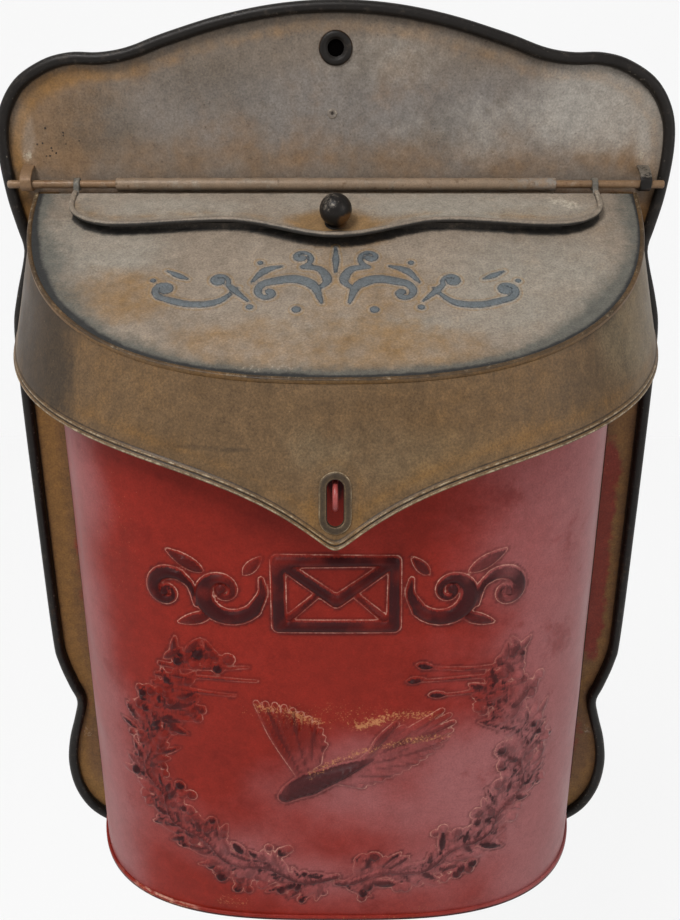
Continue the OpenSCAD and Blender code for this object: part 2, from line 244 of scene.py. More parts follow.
def curve_through(keys, n=40):
    """Smooth open curve through its key points."""
    keys = np.array(keys, float)
    ext = np.vstack([2 * keys[0] - keys[1], keys, 2 * keys[-1] - keys[-2]])
    t = np.linspace(0, 1, max(2, n // (len(keys) - 1)), endpoint=False)[:, None]
    return np.vstack([spline(*ext[i : i + 4], t) for i in range(len(keys) - 1)] + [keys[-1:]])


def closed_curve(points, count):
    """Even resampling of a closed polyline through a smooth curve."""
    n = len(points)
    t = np.linspace(0, 1, 8, endpoint=False)[:, None]
    fine = [spline(*(points[(i + k) % n] for k in (-1, 0, 1, 2)), t) for i in range(n)]
    return even(np.vstack(fine + [fine[0][:1]]), count + 1)[:-1]


def even(points, count):
    """Points spaced evenly along an open polyline."""
    s = np.concatenate([[0], np.cumsum(np.linalg.norm(np.diff(points, axis=0), axis=1))])
    u = np.linspace(0, s[-1], count)
    return np.stack([np.interp(u, s, points[:, k]) for k in range(points.shape[1])], -1)


def spread(widths, count):
    """Widths spread evenly over a number of points."""
    return np.interp(np.linspace(0, 1, count), np.linspace(0, 1, len(widths)), widths)


def bow(width, depth, square, steps=720):
    """Bowed front from +X round to -X, squarer with a higher power."""
    a = np.linspace(0, math.pi, steps + 1)
    c, s = np.cos(a), np.clip(np.sin(a), 0, 1)
    return np.stack([width * np.sign(c) * np.abs(c) ** (2 / square), -depth * s ** (2 / square)], -1)


def beside(path, closed=False):
    """Unit directions square to a flat line, to the right of its run."""
    ahead = np.roll(path, -1, 0) - np.roll(path, 1, 0) if closed else np.gradient(path, axis=0)
    return np.stack([ahead[:, 1], -ahead[:, 0]], -1) / np.linalg.norm(ahead, axis=1)[:, None]


def frontward(path):
    """The same for a bowed line, on its front."""
    out = beside(path)
    return -out if out[len(out) // 2, 1] > 0 else out


def rounded(width, height, radius, n=4):
    """Section points of a rectangle with round corners, centred."""
    out = []
    for k, (sx, sy) in enumerate([(1, 1), (-1, 1), (-1, -1), (1, -1)]):
        for a in np.radians(np.linspace(k * 90, k * 90 + 90, n + 1)):
            out.append((sx * (width / 2 - radius) + radius * math.cos(a),
                        sy * (height / 2 - radius) + radius * math.sin(a)))
    return np.array(out)


def circle(radius, n=16):
    a = np.linspace(0, 2 * math.pi, n, endpoint=False)
    return np.stack([np.cos(a), np.sin(a)], -1) * radius


def stadium(half_w, half_h, n=20):
    """Upright slot outline with round ends."""
    a = np.linspace(0, math.pi, n)
    top = np.stack([half_w * np.cos(a), half_h - half_w + half_w * np.sin(a)], -1)
    return np.vstack([top, -top])


def lid_outline(count):
    return even(bow(LID_HALF, LID_LEN, LID_SQUARE, 4000), count)


# ---- Placers: from a form's own drawing to the frame ----


def sloped(y0, z0, slope):
    """From (across, up the slope, off the sheet) to the frame."""
    c, s = math.cos(slope), math.sin(slope)

    def place(p):
        x, y, off = np.moveaxis(np.asarray(p, float), -1, 0)
        return np.stack([x, y0 + y * c - off * s, z0 + y * s + off * c], -1)

    return place


on_lid = sloped(LID_Y, LID_Z, LID_SLOPE)
on_flap = sloped(FLAP_Y, FLAP_Z, FLAP_SLOPE)
on_hasp = sloped(HASP_Y, HASP_Z, math.pi / 2 - math.atan(FLARE))


def on_plate(x=0.0, z=0.0):
    """A turned form on the plate, its axis to the front."""
    return lambda p: np.stack([p[..., 0] + x, -p[..., 2], p[..., 1] + z], -1)


def on_rod(x=0.0):
    """A turned form round the hinge rod."""
    return lambda p: np.stack([x + p[..., 2], ROD_Y + p[..., 0], ROD_Z + p[..., 1]], -1)


def side_view(x=0.0, z=0.0):
    """A form drawn in the side view, its third coordinate across."""
    return lambda p: p[..., [2, 0, 1]] + (x, 0, z)


# ---- Forms: (points, faces, masks) of closed solids ----


def grid_faces(nu, nv, wrap_u=False, wrap_v=False, start=0):
    idx = np.arange(nu * nv).reshape(nu, nv) + start
    if wrap_u:
        idx = np.vstack([idx, idx[:1]])
    if wrap_v:
        idx = np.hstack([idx, idx[:, :1]])
    return np.stack([idx[:-1, :-1], idx[1:, :-1], idx[1:, 1:], idx[:-1, 1:]], -1).reshape(-1, 4).tolist()


def tube(rings, closed=False):
    """Sweep given as stations x section points, capped at its ends or closed on itself."""
    n, m = rings.shape[:2]
    caps = [] if closed else [list(range(m)), list(range((n - 1) * m, n * m))]
    return rings.reshape(-1, 3), grid_faces(n, m, wrap_u=closed, wrap_v=True) + caps, {}


def sweep(path, out, section, place, closed=False):
    """Runs a section along a flat line: its x goes outward, its y off the line's plane."""
    section = np.broadcast_to(section, (len(path),) + section.shape[-2:])
    across = path[:, None] + section[..., :1] * out[:, None]
    return tube(place(np.concatenate([across, section[..., 1:]], -1)), closed)


def prism(outline, low, high, place):
    """Flat outline drawn out between two levels."""
    return tube(place(np.stack([np.insert(outline, 2, level, 1) for level in (low, high)])))


def slab(top, under, wrap=False):
    """Closed sheet between two grids; a wrapped one is capped across its middle."""
    nu, nv = top.shape[:2]
    n = nu * nv
    faces = grid_faces(nu, nv, wrap_u=wrap) + grid_faces(nu, nv, wrap_u=wrap, start=n)
    idx = np.arange(n).reshape(nu, nv)
    if wrap:
        ring = idx[:, 0]
        faces += [idx[:, -1].tolist(), (idx[:, -1] + n).tolist()]
    else:
        ring = np.concatenate([idx[0, :], idx[1:, -1], idx[-1, -2::-1], idx[-2:0:-1, 0]])
    after = np.roll(ring, -1)
    faces += np.stack([ring, after, after + n, ring + n], -1).tolist()
    return np.concatenate([top.reshape(-1, 3), under.reshape(-1, 3)]), faces, {}


def lathe(profile, place, turns=64):
    """Turns (radius, height) points round an axis."""
    a = np.linspace(0, 2 * math.pi, turns, endpoint=False)
    r, h = np.array(profile, float).T
    local = np.stack([np.outer(np.cos(a), r), np.outer(np.sin(a), r), np.tile(h, (turns, 1))], -1)
    return tube(place(local), closed=True)


def tag(form, **masks):
    """Gives a form its masks: one value, or one for each section point, side point or point."""
    for name, value in masks.items():
        value = np.ravel(value).astype(float)
        form[2][name] = np.tile(value, len(form[0]) // len(value))
    return form


def joined(*forms):
    """Several closed forms as one mesh."""
    names = sorted({k for f in forms for k in f[2]})
    points, faces, start = [], [], 0
    masks = {k: [] for k in names}
    for p, f, a in forms:
        points.append(p)
        faces += [[i + start for i in q] for q in f]
        for k in names:
            masks[k].append(np.asarray(a.get(k, np.zeros(len(p))), float))
        start += len(p)
    return np.concatenate(points), faces, {k: np.concatenate(v) for k, v in masks.items()}


def soften(obj, sharp):
    obj.data.polygons.foreach_set("use_smooth", [True] * len(obj.data.polygons))
    obj.data.set_sharp_from_angle(angle=math.radians(sharp))


def mesh_object(name, form):
    """Object of a form, in metres, with every face turned outward."""
    mesh = bpy.data.meshes.new(name)
    mesh.from_pydata((form[0] * MM).tolist(), [], form[1])
    for key, values in form[2].items():
        mesh.attributes.new(key, "FLOAT", "POINT").data.foreach_set("value", np.asarray(values, np.float32))
    bm = bmesh.new()
    bm.from_mesh(mesh)
    bmesh.ops.recalc_face_normals(bm, faces=bm.faces)
    bm.to_mesh(mesh)
    bm.free()
    obj = bpy.data.objects.new(name, mesh)
    bpy.context.collection.objects.link(obj)
    return obj


def build(name, form, finish, body, replaces=(), sharp=40):
    """Makes a piece and ties it to its body, slot and node."""
    obj = mesh_object(name, form)
    obj.data.materials.append(FINISH[finish])
    soften(obj, sharp)
    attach(obj, body)
    if replaces:
        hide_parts(*replaces)
    return obj


def cut(obj, form, sharp=40):
    """Cuts a closed form out of the object for good."""
    tool = mesh_object("cutter", form)
    mod = obj.modifiers.new("cut", "BOOLEAN")
    mod.object, mod.solver, mod.operation = tool, "EXACT", "DIFFERENCE"
    graph = bpy.context.evaluated_depsgraph_get()
    done = bpy.data.meshes.new_from_object(
        obj.evaluated_get(graph), preserve_all_data_layers=True, depsgraph=graph)
    obj.modifiers.clear()
    obj.data = done
    bpy.data.objects.remove(tool)
    soften(obj, sharp)


def loop_of(node, level):
    """Longest closed wall line of a frame node at one depth, as X and Z."""
    bm = bmesh.new()
    bm.from_mesh(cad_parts[node].data)
    bmesh.ops.remove_doubles(bm, verts=bm.verts, dist=1e-6)
    links = {}
    for e in bm.edges:
        a, b = e.verts
        flat = all(abs(v.co.y / MM - level) < 0.02 for v in (a, b))
        if flat and any(abs(f.normal.y) < 0.1 for f in e.link_faces):
            links.setdefault(a.index, []).append(b.index)
            links.setdefault(b.index, []).append(a.index)
    where = {v.index: (v.co.x / MM, v.co.z / MM) for v in bm.verts}
    bm.free()
    best, seen = [], set()
    for first in links:
        if first in seen:
            continue
        chain, here = [], first
        while here is not None:
            chain.append(here)
            seen.add(here)
            here = next((k for k in links[here] if k not in seen), None)
        points = np.array([where[k] for k in chain])
        if len(best) == 0 or np.ptp(points[:, 0]) > np.ptp(best[:, 0]):
            best = points
    return best


# ---- Ornament: distances to drawn strokes, leaves and rounds ----


class Ornament:
    """Pressed drawing gathered over a grid of flat-sheet positions.

    mark is the depth inside the nearest outline in mm, tone how dark its wash is,
    line how pale its rubbed outline is.
    """

    def __init__(self, x, y):
        self.x, self.y = x, y
        self.height = np.zeros_like(x)
        self.mark = np.full(np.shape(x), UNMARKED)
        self.tone = np.zeros_like(x)
        self.line = np.zeros_like(x)
        self.gold = np.zeros_like(x)

    def disc(self, cx, cy, radius):
        return np.hypot(self.x - cx, self.y - cy) - radius

    def stroke(self, points, widths):
        """Signed distance to a line of changing half width."""
        points = np.asarray(points, float)
        out = np.full(np.shape(self.x), 99.0)
        for a, b, wa, wb in zip(points[:-1], points[1:], widths[:-1], widths[1:]):
            d = b - a
            t = np.clip(((self.x - a[0]) * d[0] + (self.y - a[1]) * d[1]) / max(float(d @ d), 1e-9), 0, 1)
            out = np.minimum(out, self.disc(a[0] + t * d[0], a[1] + t * d[1], wa + t * (wb - wa)))
        return out

    def leaf(self, cx, cy, turn, long, wide):
        """Signed distance, roughly, to a pointed leaf, and the position across it."""
        c, s = math.cos(turn), math.sin(turn)
        along = ((self.x - cx) * c + (self.y - cy) * s) / long
        across = -(self.x - cx) * s + (self.y - cy) * c
        half = wide * np.clip(1 - along**2, 0, 1) ** 0.8 * (1 - 0.25 * along)
        beyond = np.hypot((np.abs(along) - 1) * long, across)
        return np.where(np.abs(along) > 1, beyond, np.abs(across) - half), across

    def add(self, distance, rise, tone, crown=1.6, line=0.6):
        inside = distance < 0
        near = np.exp(-(past(distance, 0) ** 2) / 1.1)
        self.height = np.where(inside, 0.35 * self.height, self.height * (1 - 0.65 * near))
        self.height = np.maximum(self.height, step(0.45, -crown, distance) * rise)
        under = np.where(self.mark > 0, np.minimum(self.mark, distance), np.maximum(self.mark, -distance))
        self.mark = np.where(inside, -distance, under)
        claim = inside | ((distance < 1.6) & (self.mark <= 0))
        self.tone = np.where(claim, tone, self.tone)
        self.line = np.where(claim, line, self.line)


def toward(turn, far):
    return np.array([math.cos(turn), math.sin(turn)]) * far


def wreath(art, rise):
    """Two leafy branches with berries, rising from the bottom to either side."""
    rng = np.random.default_rng(11)
    for side in (-1, 1):
        k = np.arange(60)
        angle = np.radians(-90 + 126 * k / 59)
        wobble = 2.4 * np.sin(k * 0.55 + side)
        stem = np.stack([side * (88 + wobble) * np.cos(angle), -299 + (62 + wobble) * np.sin(angle)], -1)
        for k in range(1, 60):
            p = stem[k]
            along = math.atan2(*(stem[min(k + 1, 59)] - stem[k - 1])[::-1])
            for out in rng.permutation([-1, -0.6, 0.25, 0.7, 1]):
                size = rng.uniform(3.4, 8.0)
                turn = along + out * rng.uniform(0.25, 1.05)
                c = p + toward(turn, rng.uniform(2.0, 13.5))
                d, across = art.leaf(*c, turn, size, rng.uniform(1.0, 2.1))
                vein = 1 - 0.45 * ridge(across, 0, 0.55)
                art.add(d, rise * rng.uniform(0.5, 1.0) * vein, rng.choice([0.15, 0.5, 0.9, 1.0]),
                        crown=1.3, line=rng.uniform(0.0, 0.6))
            if rng.random() < 0.5:
                turn = along + rng.choice([-1, 1]) * rng.uniform(0.5, 1.5)
                c = p + toward(turn, rng.uniform(7, 14))
                bend = (p + c) / 2 + rng.normal(0, 0.8, 2)
                art.add(art.stroke([p, bend, c], [0.6, 0.55, 0.5]), rise * 0.5, 0.7, crown=0.8, line=0.5)
                for _ in range(rng.integers(2, 5)):
                    b = c + rng.normal(0, 2.8, 2)
                    art.add(art.disc(*b, rng.uniform(1.6, 2.7)), rise * 1.1, rng.choice([0.2, 0.6, 1.0]),
                            crown=2.0, line=rng.uniform(0.3, 1.0))
        art.add(art.stroke(stem[:46], np.linspace(1.3, 0.8, 46)), rise * 0.7, 0.8, crown=1.0, line=0.3)
        # Thin stalks that reach in towards the middle at the branch's tip, with buds on the right
        for j, (x0, y0, x1, y1) in enumerate([
                (80, -252, 34, -250), (82, -257, 44, -258), (78, -246, 38, -243)]):
            bend = (side * (x0 + x1) / 2, (y0 + y1) / 2 + 1.2 - j)
            path = curve_through([(side * x0, y0), bend, (side * x1, y1)])
            art.add(art.stroke(path, np.linspace(0.75, 0.25, len(path))),
                    rise * 0.5, 0.85, crown=0.7, line=0.25)
            if side > 0:
                d, _ = art.leaf(x1, y1 + 0.5, 0.15 - 0.2 * j, 4.0, 1.5)
                art.add(d, rise * 0.8, 1.0, crown=1.3, line=0.5)
        (wide, tall), (cx, cy) = ((14.0, 4.6), (-57, -241)) if side < 0 else ((6.5, 9.0), (78, -246))
        for k in range(13):
            r = math.sqrt((k + 0.5) / 13)
            b = (cx, cy) + toward(2.4 * k, r) * (wide, tall) + rng.normal(0, 0.5, 2)
            art.add(art.disc(*b, rng.uniform(1.5, 2.9)), rise * 1.2, rng.choice([0.1, 0.5, 1.0]),
                    crown=2.2, line=rng.uniform(0.2, 0.9))
            if k % 3 == 0:
                d, _ = art.leaf(b[0] + side * 2, b[1] + 3.5, rng.uniform(0.6, 2.4), 5.5, 1.5)
                art.add(d, rise * 0.7, 0.7, crown=1.2, line=0.3)


def bird(art, rise):
    """A plain small bird on the wing: plump body, two feathered wings, long tail."""

    def fan(roots, edge, count, wide, tone):
        for k, tip in enumerate(even(curve_through(edge), count)):
            t = k / (count - 1)
            root = np.array(roots[0]) * (1 - t) + np.array(roots[1]) * t
            path = curve_through([root, (root + tip) / 2 + (-1.0, 1.6 * (1 - t)), tip], 14)
            half = wide * np.interp(np.linspace(0, 1, len(path)), [0, 0.6, 1], [0.6, 1, 0.55])
            art.add(art.stroke(path, half), rise * (0.95 - 0.25 * t - 0.2 * (k % 2)),
                    tone + 0.35 * (k % 3 == 0), crown=1.2, line=0.7)

    fan([(-8, -293), (-17, -300)],
        [(-5, -283), (-8, -273), (-16, -266), (-26, -262), (-35, -261)], 11, 1.5, 0.3)
    fan([(-4, -304), (16, -290)],
        [(12, -306), (30, -297), (43, -287), (50, -278), (51, -271), (46, -266)], 15, 1.7, 0.2)
    fan([(2, -298), (14, -290)], [(26, -290), (31, -284), (32, -277), (26, -272)], 7, 1.9, 0.25)
    body = curve_through([(-25, -314), (-18, -308), (-6, -302), (16, -291)], 30)
    girth = np.interp(np.linspace(0, 1, len(body)),
                      [0, 0.1, 0.22, 0.5, 0.8, 1], [0.5, 3.2, 4.2, 6.2, 4.4, 1.2])
    d = art.stroke(body, girth)
    nap = 1 + 0.16 * np.sin((art.x * 0.5 + art.y) * 2.1)
    art.add(d, rise * 1.4 * nap * np.clip(0.25 - d / 5.0, 0, 1) ** 0.6, 0.9, crown=3.0, line=0.2)
    for gilt, keys in (
        (0.85, [(-34, -263), (-22, -265), (-8, -271)]),
        (0.85, [(10, -274), (26, -268), (46, -268)]),
        (1.2, [(-12, -299), (4, -290), (26, -282), (50, -279)]),
    ):
        path = curve_through(keys, 24)
        lead = art.stroke(path, np.full(len(path), 0.4))
        art.gold = np.maximum(art.gold, gilt * ridge(past(lead, 0), 0, 1.9))


def spiral(cx, cy, r0, r1, start, turns, way, n=44):
    """Volute from its outer end to its eye."""
    t = np.linspace(0, 1, n)
    a = math.radians(start) + way * t * turns * 2 * math.pi
    r = r0 * (r1 / r0) ** t
    return np.stack([cx + r * np.cos(a), cy + r * np.sin(a)], -1)


def emblem(art, rise):
    """A plain sealed envelope between running scrolls with leaves."""
    cy, hw, hh = -206.5, 24.0, 15.5
    inner = np.vstack([curve_through([(31, cy + 7), (30.6, cy), (34.5, cy - 8)], 12)[:-1],
                       spiral(47, cy + 0.5, 15.2, 1.6, -146, 1.55, 1)])
    outer = np.vstack([curve_through([(59, cy - 7), (61, cy + 2), (65.5, cy + 6.2)], 12)[:-1],
                       spiral(71.5, cy - 2, 10.2, 1.3, 126, 1.4, -1)])
    for side in (-1, 1):
        for cx, dy, turn, long, wide in (
                (63, 13.5, 0.5, 9.0, 2.6), (34.5, 13, 2.3, 5.5, 2.0), (60, -14, -0.35, 8.0, 2.3)):
            d, across = art.leaf(side * cx, cy + dy, turn if side > 0 else math.pi - turn, long, wide)
            art.add(d, rise * (1 - 0.4 * ridge(across, 0, 0.7)), 0.75, line=0.8)
        for path, wide in (
            (outer, [0.7, 1.6, 3.0, 2.9, 1.5, 1.0, 1.0, 2.0]),
            (inner, [0.7, 1.8, 3.2, 3.9, 2.4, 1.5, 1.2, 1.2, 2.4]),
        ):
            art.add(art.stroke(path * (side, 1), spread(wide, len(path))), rise, 0.95, line=0.9)
    folds = [art.stroke([(s * hw, cy - hh), (s * 6.5, cy + 1.0)], [1.5, 1.0]) for s in (-1, 1)]
    art.add(np.minimum(*folds), rise * 0.8, 0.8, crown=1.2, line=0.8)
    corners = [(-hw, cy - hh), (hw, cy - hh), (hw, cy + hh), (-hw, cy + hh), (-hw, cy - hh)]
    flap = art.stroke([(-hw, cy + hh), (0, cy - 3.5), (hw, cy + hh)], [2.0, 2.6, 2.0])
    art.add(np.minimum(flap, art.stroke(corners, [2.7, 2.7, 2.2, 2.7, 2.7])), rise, 0.95, line=1.0)


def lid_scrolls(art):
    """Mirrored scrollwork: a lyre with two volutes, a running scroll and a curl each side."""

    def run(volute, keys, widths, side=1):
        lead = spiral(*volute, 26)[::-1] if volute else np.empty((0, 2))
        path = curve_through(np.vstack([lead[-1:], keys]), 36)
        path = np.vstack([lead, path[len(lead[-1:]):]])
        art.add(art.stroke(path * (side, 1), 0.98 * spread(widths, len(path))), 1.0, 1.0, crown=1.0, line=1.0)

    for side in (-1, 1):
        for row in (
            ((14.5, -42.5, 6.2, 1, -100, 1.15, -1), [(6.5, -50), (3.4, -57), (8, -63)],
             [1.8, 1.0, 1.5, 2.2, 0.8]),
            ((27, -64.5, 6.4, 1, 80, 0.9, -1), [(17, -56), (9, -60), (5.5, -70)],
             [1.9, 1.3, 2.4, 2.6, 0.9]),
            ((68.5, -62, 5.6, 1, -80, 1.1, 1), [(58, -71), (47, -69.5), (39, -61)],
             [2.1, 1.2, 1.9, 1.9, 0.6]),
            ((47.5, -57, 4.6, 1, -150, 1.05, -1), [(40.5, -63), (35, -69)], [1.9, 1.0, 1.7, 0.7]),
            (None, [(34, -58), (29, -51), (22, -48)], [0.7, 2.0, 0.7]),
            (None, [(60, -56), (64, -54), (69, -51)], [0.6, 1.6, 0.6]),
        ):
            run(*row, side)
        for cx, cy, r in ((15.5, -74, 2.0), (34, -72.5, 1.6), (31, -46, 1.4), (74, -57, 1.3)):
            art.add(art.disc(side * cx, cy, r), 1.0, 1.0, crown=1.0, line=1.0)
    run(None, [(0, -36), (0.1, -44), (0, -52)], [0.6, 1.6, 0.8])


# ---- Finishes ----


def node(tree, kind, values=None, **settings):
    """Adds a node, sets it up and links any socket given as a value."""
    made = tree.nodes.new(kind)
    for key, value in settings.items():
        setattr(made, key, value)
    for key, value in (values or {}).items():
        if isinstance(value, bpy.types.NodeSocket):
            tree.links.new(value, made.inputs[key])
        else:
            made.inputs[key].default_value = value
    return made


def weathered(name, base, layers, rough=(0.5, 0.7), metal=0.0, shine=0.3, grain=1.0, speckle=0.8, depth=0.08):
    """Old paint or iron: a base colour under layers of stain, rust, dust and wear.

    A layer is (colour, mask, where it starts, where it is full, patch size in mm,
    how much the patches break it up, strength) and maybe the mask that scales it.
    A mask (name, centre, width) is a band of that mask round the centre, and a
    patch size under zero draws the patches out upright.
    """
    material = bpy.data.materials.new(name)
    material.use_nodes = True
    tree = material.node_tree
    tree.nodes.clear()
    place = node(tree, "ShaderNodeTexCoord").outputs["Object"]
    tall = node(tree, "ShaderNodeMapping", {"Vector": place, "Scale": (1, 1, 0.22)}).outputs["Vector"]

    def mask_of(key):
        return node(tree, "ShaderNodeAttribute", attribute_name=key).outputs["Fac"]

    def maths(kind, *values):
        return node(tree, "ShaderNodeMath", dict(enumerate(values)), operation=kind).outputs[0]

    def noise(size, detail, roughness):
        values = {"Vector": tall if size < 0 else place, "Scale": 1000 / abs(size),
                  "Detail": detail, "Roughness": roughness}
        return node(tree, "ShaderNodeTexNoise", values).outputs["Fac"]

    def ranged(value, low, high, start, end, **settings):
        values = {"Value": value, "From Min": low, "From Max": high, "To Min": start, "To Max": end}
        return node(tree, "ShaderNodeMapRange", values, **settings).outputs["Result"]

    def mixed(share, under, over):
        return node(tree, "ShaderNodeMix", {0: share, 6: under, 7: over}, data_type="RGBA").outputs[2]

    tone = noise(26, 6, 0.62)
    dark = tuple(c * 0.66 for c in base[:3]) + (1,)
    pale = tuple(min(1, c * 1.34) for c in base[:3]) + (1,)
    colour = mixed(tone, dark, pale)
    for tint, mask, low, high, size, gain, strength, *scale in layers:
        value = maths("MULTIPLY_ADD", noise(size, 5, 0.68), gain, -0.5 * gain)
        if isinstance(mask, tuple):
            off = maths("ABSOLUTE", maths("SUBTRACT", mask_of(mask[0]), mask[1]))
            value = maths("ADD", value, maths("MULTIPLY_ADD", off, -1 / mask[2], 1.0))
        elif mask:
            value = maths("ADD", value, mask_of(mask))
        cover = ranged(value, low, high, 0.0, strength, interpolation_type="SMOOTHSTEP")
        if scale:
            cover = maths("MULTIPLY", cover, mask_of(scale[0]))
        colour = mixed(cover, colour, rgb(tint))
    fine = noise(grain, 3, 0.7)
    flecks = ranged(fine, 0.3, 0.7, 1 - 0.2 * speckle, 1 + 0.2 * speckle)
    drift = ranged(noise(4.5, 4, 0.6), 0.3, 0.7, 1 - 0.11 * speckle, 1 + 0.11 * speckle)
    value = maths("MULTIPLY", flecks, drift)
    colour = node(tree, "ShaderNodeHueSaturation", {"Color": colour, "Value": value}).outputs["Color"]
    bump = node(tree, "ShaderNodeBump", {"Strength": 0.6, "Distance": depth * MM, "Height": fine})
    shader = node(
        tree, "ShaderNodeBsdfPrincipled",
        {"Base Color": colour, "Roughness": ranged(tone, 0.3, 0.7, *rough), "Metallic": metal,
         "Specular IOR Level": shine, "Normal": bump.outputs["Normal"]},
    )
    node(tree, "ShaderNodeOutputMaterial", {"Surface": shader.outputs["BSDF"]})
    return material


FINISH = {}


class LETTERBOX_OT_finishes(bpy.types.Operator):
    """Makes the paints, rusts and bare metals"""

    bl_idname = "letterbox.finishes"
    bl_label = "Finishes"

    def execute(self, context):
        tint = context.scene.letterbox_colours
        # Brush-wiped oil paint on tin, gone taupe and grey, with ochre rust bleeding in from the rim
        FINISH["plate"] = weathered("aged_taupe_paint", tint.plate, [
            ("#7b7570", "grey", 0.20, 1.0, 30, 1.1, 0.8),
            ("#7f6244", "ochre", 0.22, 0.95, 22, 1.2, 0.85),
            ("#574c40", None, 0.05, 0.22, 17, 1.0, 0.5),
            ("#a39d94", "pale", 0.30, 1.15, 18, 0.9, 0.7),
            ("#453d33", "smoke", 0.20, 1.5, 13, 1.3, 0.6),
            ("#6a4827", "brown", 0.35, 0.95, 14, 0.9, 0.92),
            ("#86602f", "glow", 0.30, 1.15, 9, 1.0, 0.7),
            ("#7a2a20", "red", 0.38, 0.75, 10, 1.3, 0.9),
            ("#241c16", "soot", 0.30, 0.85, 3, 0.5, 0.93),
            ("#c0b49f", "chalk", 0.50, 1.0, 2.0, 1.5, 0.7),
            ("#3c2c1c", None, 0.11, 0.22, 1.5, 1.0, 0.55),
            ("#a99a84", None, 0.14, 0.25, 1.2, 1.0, 0.38),
        ], rough=(0.5, 0.66), grain=0.95, speckle=1.3)
        # The same paint rubbed grey-beige on the lid's top, blued to black at its edge
        FINISH["lid"] = weathered("aged_beige_paint", tint.lid, [
            ("#918b80", "pale", 0.25, 1.0, 24, 1.0, 0.7),
            ("#83633a", "ochre", 0.32, 1.05, 15, 1.2, 0.85),
            ("#565650", "blue", 0.22, 1.0, 6, 0.9, 0.88),
            ("#262626", "soot", 0.35, 0.85, 3.5, 0.6, 0.94),
            ("#545f66", "mark", -0.35, 0.45, 1.8, 1.6, 0.82),
            ("#2e373e", ("mark", 0.25, 0.5), 0.45, 1.0, 1.6, 1.6, 0.82),
            ("#8a6a3a", ("mark", -1.1, 1.0), 0.40, 1.1, 2.4, 1.3, 0.5),
            ("#b4aa98", ("mark", -0.35, 0.5), 0.80, 1.2, 1.4, 1.5, 0.5),
            ("#bfb4a2", "worn", 0.50, 0.95, 2.2, 1.5, 0.8),
            ("#4c3d2a", None, 0.12, 0.22, 1.4, 1.0, 0.5),
            ("#bdb09a", None, 0.15, 0.24, 1.1, 1.0, 0.35),
        ], rough=(0.42, 0.58), grain=0.85, speckle=1.4)
        # Brown paint of the apron with a bright ochre band above its hem
        FINISH["apron"] = weathered("aged_brown_paint", tint.apron, [
            ("#786a52", "pale", 0.30, 1.0, 24, 1.0, 0.7),
            ("#78562b", "ochre", 0.35, 1.0, 12, 0.8, 0.8),
            ("#33291e", "soot", 0.30, 0.95, -14, 1.1, 0.85),
            ("#1d1712", "groove", 0.3, 0.7, 3, 0.3, 0.92),
            ("#b5a488", "worn", 0.45, 0.9, 2.6, 1.2, 0.85),
            ("#35281a", None, 0.12, 0.22, 1.5, 1.0, 0.55),
            ("#9c8a6a", None, 0.15, 0.24, 1.2, 1.0, 0.35),
        ], rough=(0.42, 0.58), grain=0.9, speckle=1.7)
        # Satin red enamel over tin, mauve where it has bloomed and as a painted mauve sheen down its sides,
        # dark wash in the pressing
        FINISH["body"] = weathered("aged_red_enamel", tint.body, [
            ("#9a6060", "bloom", 0.25, 1.15, 26, 0.5, 0.9),
            ("#6e1b15", None, 0.05, 0.22, 22, 1.0, 0.45),
            # Dark wash round the foot of each pressed shape, partly painted shade at that foot
            ("#3a1517", ("mark", -1.5, 2.2), 0.20, 1.05, 3.0, 1.1, 0.6, "tone"),
            ("#1d0d11", "mark", -0.20, 0.60, -1.1, 1.7, 0.9, "tone"),
            ("#c99684", ("mark", -0.5, 0.6), 0.50, 1.0, 1.6, 1.2, 0.9, "line"),
            ("#66502e", "olive", 0.35, 0.75, 6, 0.7, 0.9),
            ("#2c1517", "soot", 0.35, 0.85, 6, 0.7, 0.9),
            ("#c68a5c", "gold", 0.48, 0.92, 1.0, 2.1, 0.72),
            ("#c58c78", None, 0.18, 0.27, 1.1, 1.0, 0.40),
        ], rough=(0.34, 0.46), shine=0.11, grain=0.8, speckle=0.8, depth=0.05)
        # Rolled tin rim, blackened, with faint rubbed streaks
        FINISH["iron"] = weathered("blackened_iron", tint.iron, [
            ("#443c34", None, 0.05, 0.2, 4, 1.0, 0.5),
            ("#8b8174", "worn", 0.60, 0.95, 1.6, 1.6, 0.6),
            ("#6a4724", "rust", 0.35, 0.9, 3, 1.1, 0.75),
            ("#161412", None, 0.12, 0.2, 2.2, 1.0, 0.6),
        ], rough=(0.38, 0.54), metal=0.2, shine=0.28, grain=0.8)
        # Mild steel wire and strap, browned by rust, with bright rubbed spots
        FINISH["steel"] = weathered("rusted_steel", rgb("#7e6349"), [
            ("#8d7c6c", None, 0.02, 0.2, 7, 1.0, 0.7),
            ("#5f3c22", None, 0.08, 0.2, 3.2, 1.0, 0.65),
            ("#b3ada4", "worn", 0.55, 0.9, 2, 1.3, 0.85),
            ("#231c17", None, 0.12, 0.22, 2, 1.0, 0.65),
        ], rough=(0.4, 0.56), metal=0.15, grain=0.7)
        # Staple wire, its red rubbed thin and bright
        FINISH["staple"] = weathered("rubbed_red_wire", rgb("#9c4743"), [
            ("#5a1714", None, 0.06, 0.2, 3, 1.0, 0.6),
        ], rough=(0.22, 0.36), shine=0.5, grain=0.6, speckle=0.6, depth=0.02)
        # Rolled barrel under the same paint, rubbed through to grey tin
        FINISH["barrel"] = weathered("worn_hinge_paint", rgb("#84705c"), [
            ("#8a8072", None, 0.02, 0.2, 7, 1.0, 0.7),
            ("#553c22", None, 0.06, 0.2, 4, 1.0, 0.7),
            ("#7f8586", "worn", 0.45, 1.1, 2.4, 1.4, 0.7),
            ("#241e18", None, 0.12, 0.22, 2, 1.0, 0.6),
        ], rough=(0.4, 0.56), metal=0.1, grain=0.7)
        return {"FINISHED"}


# ---- Pieces ----


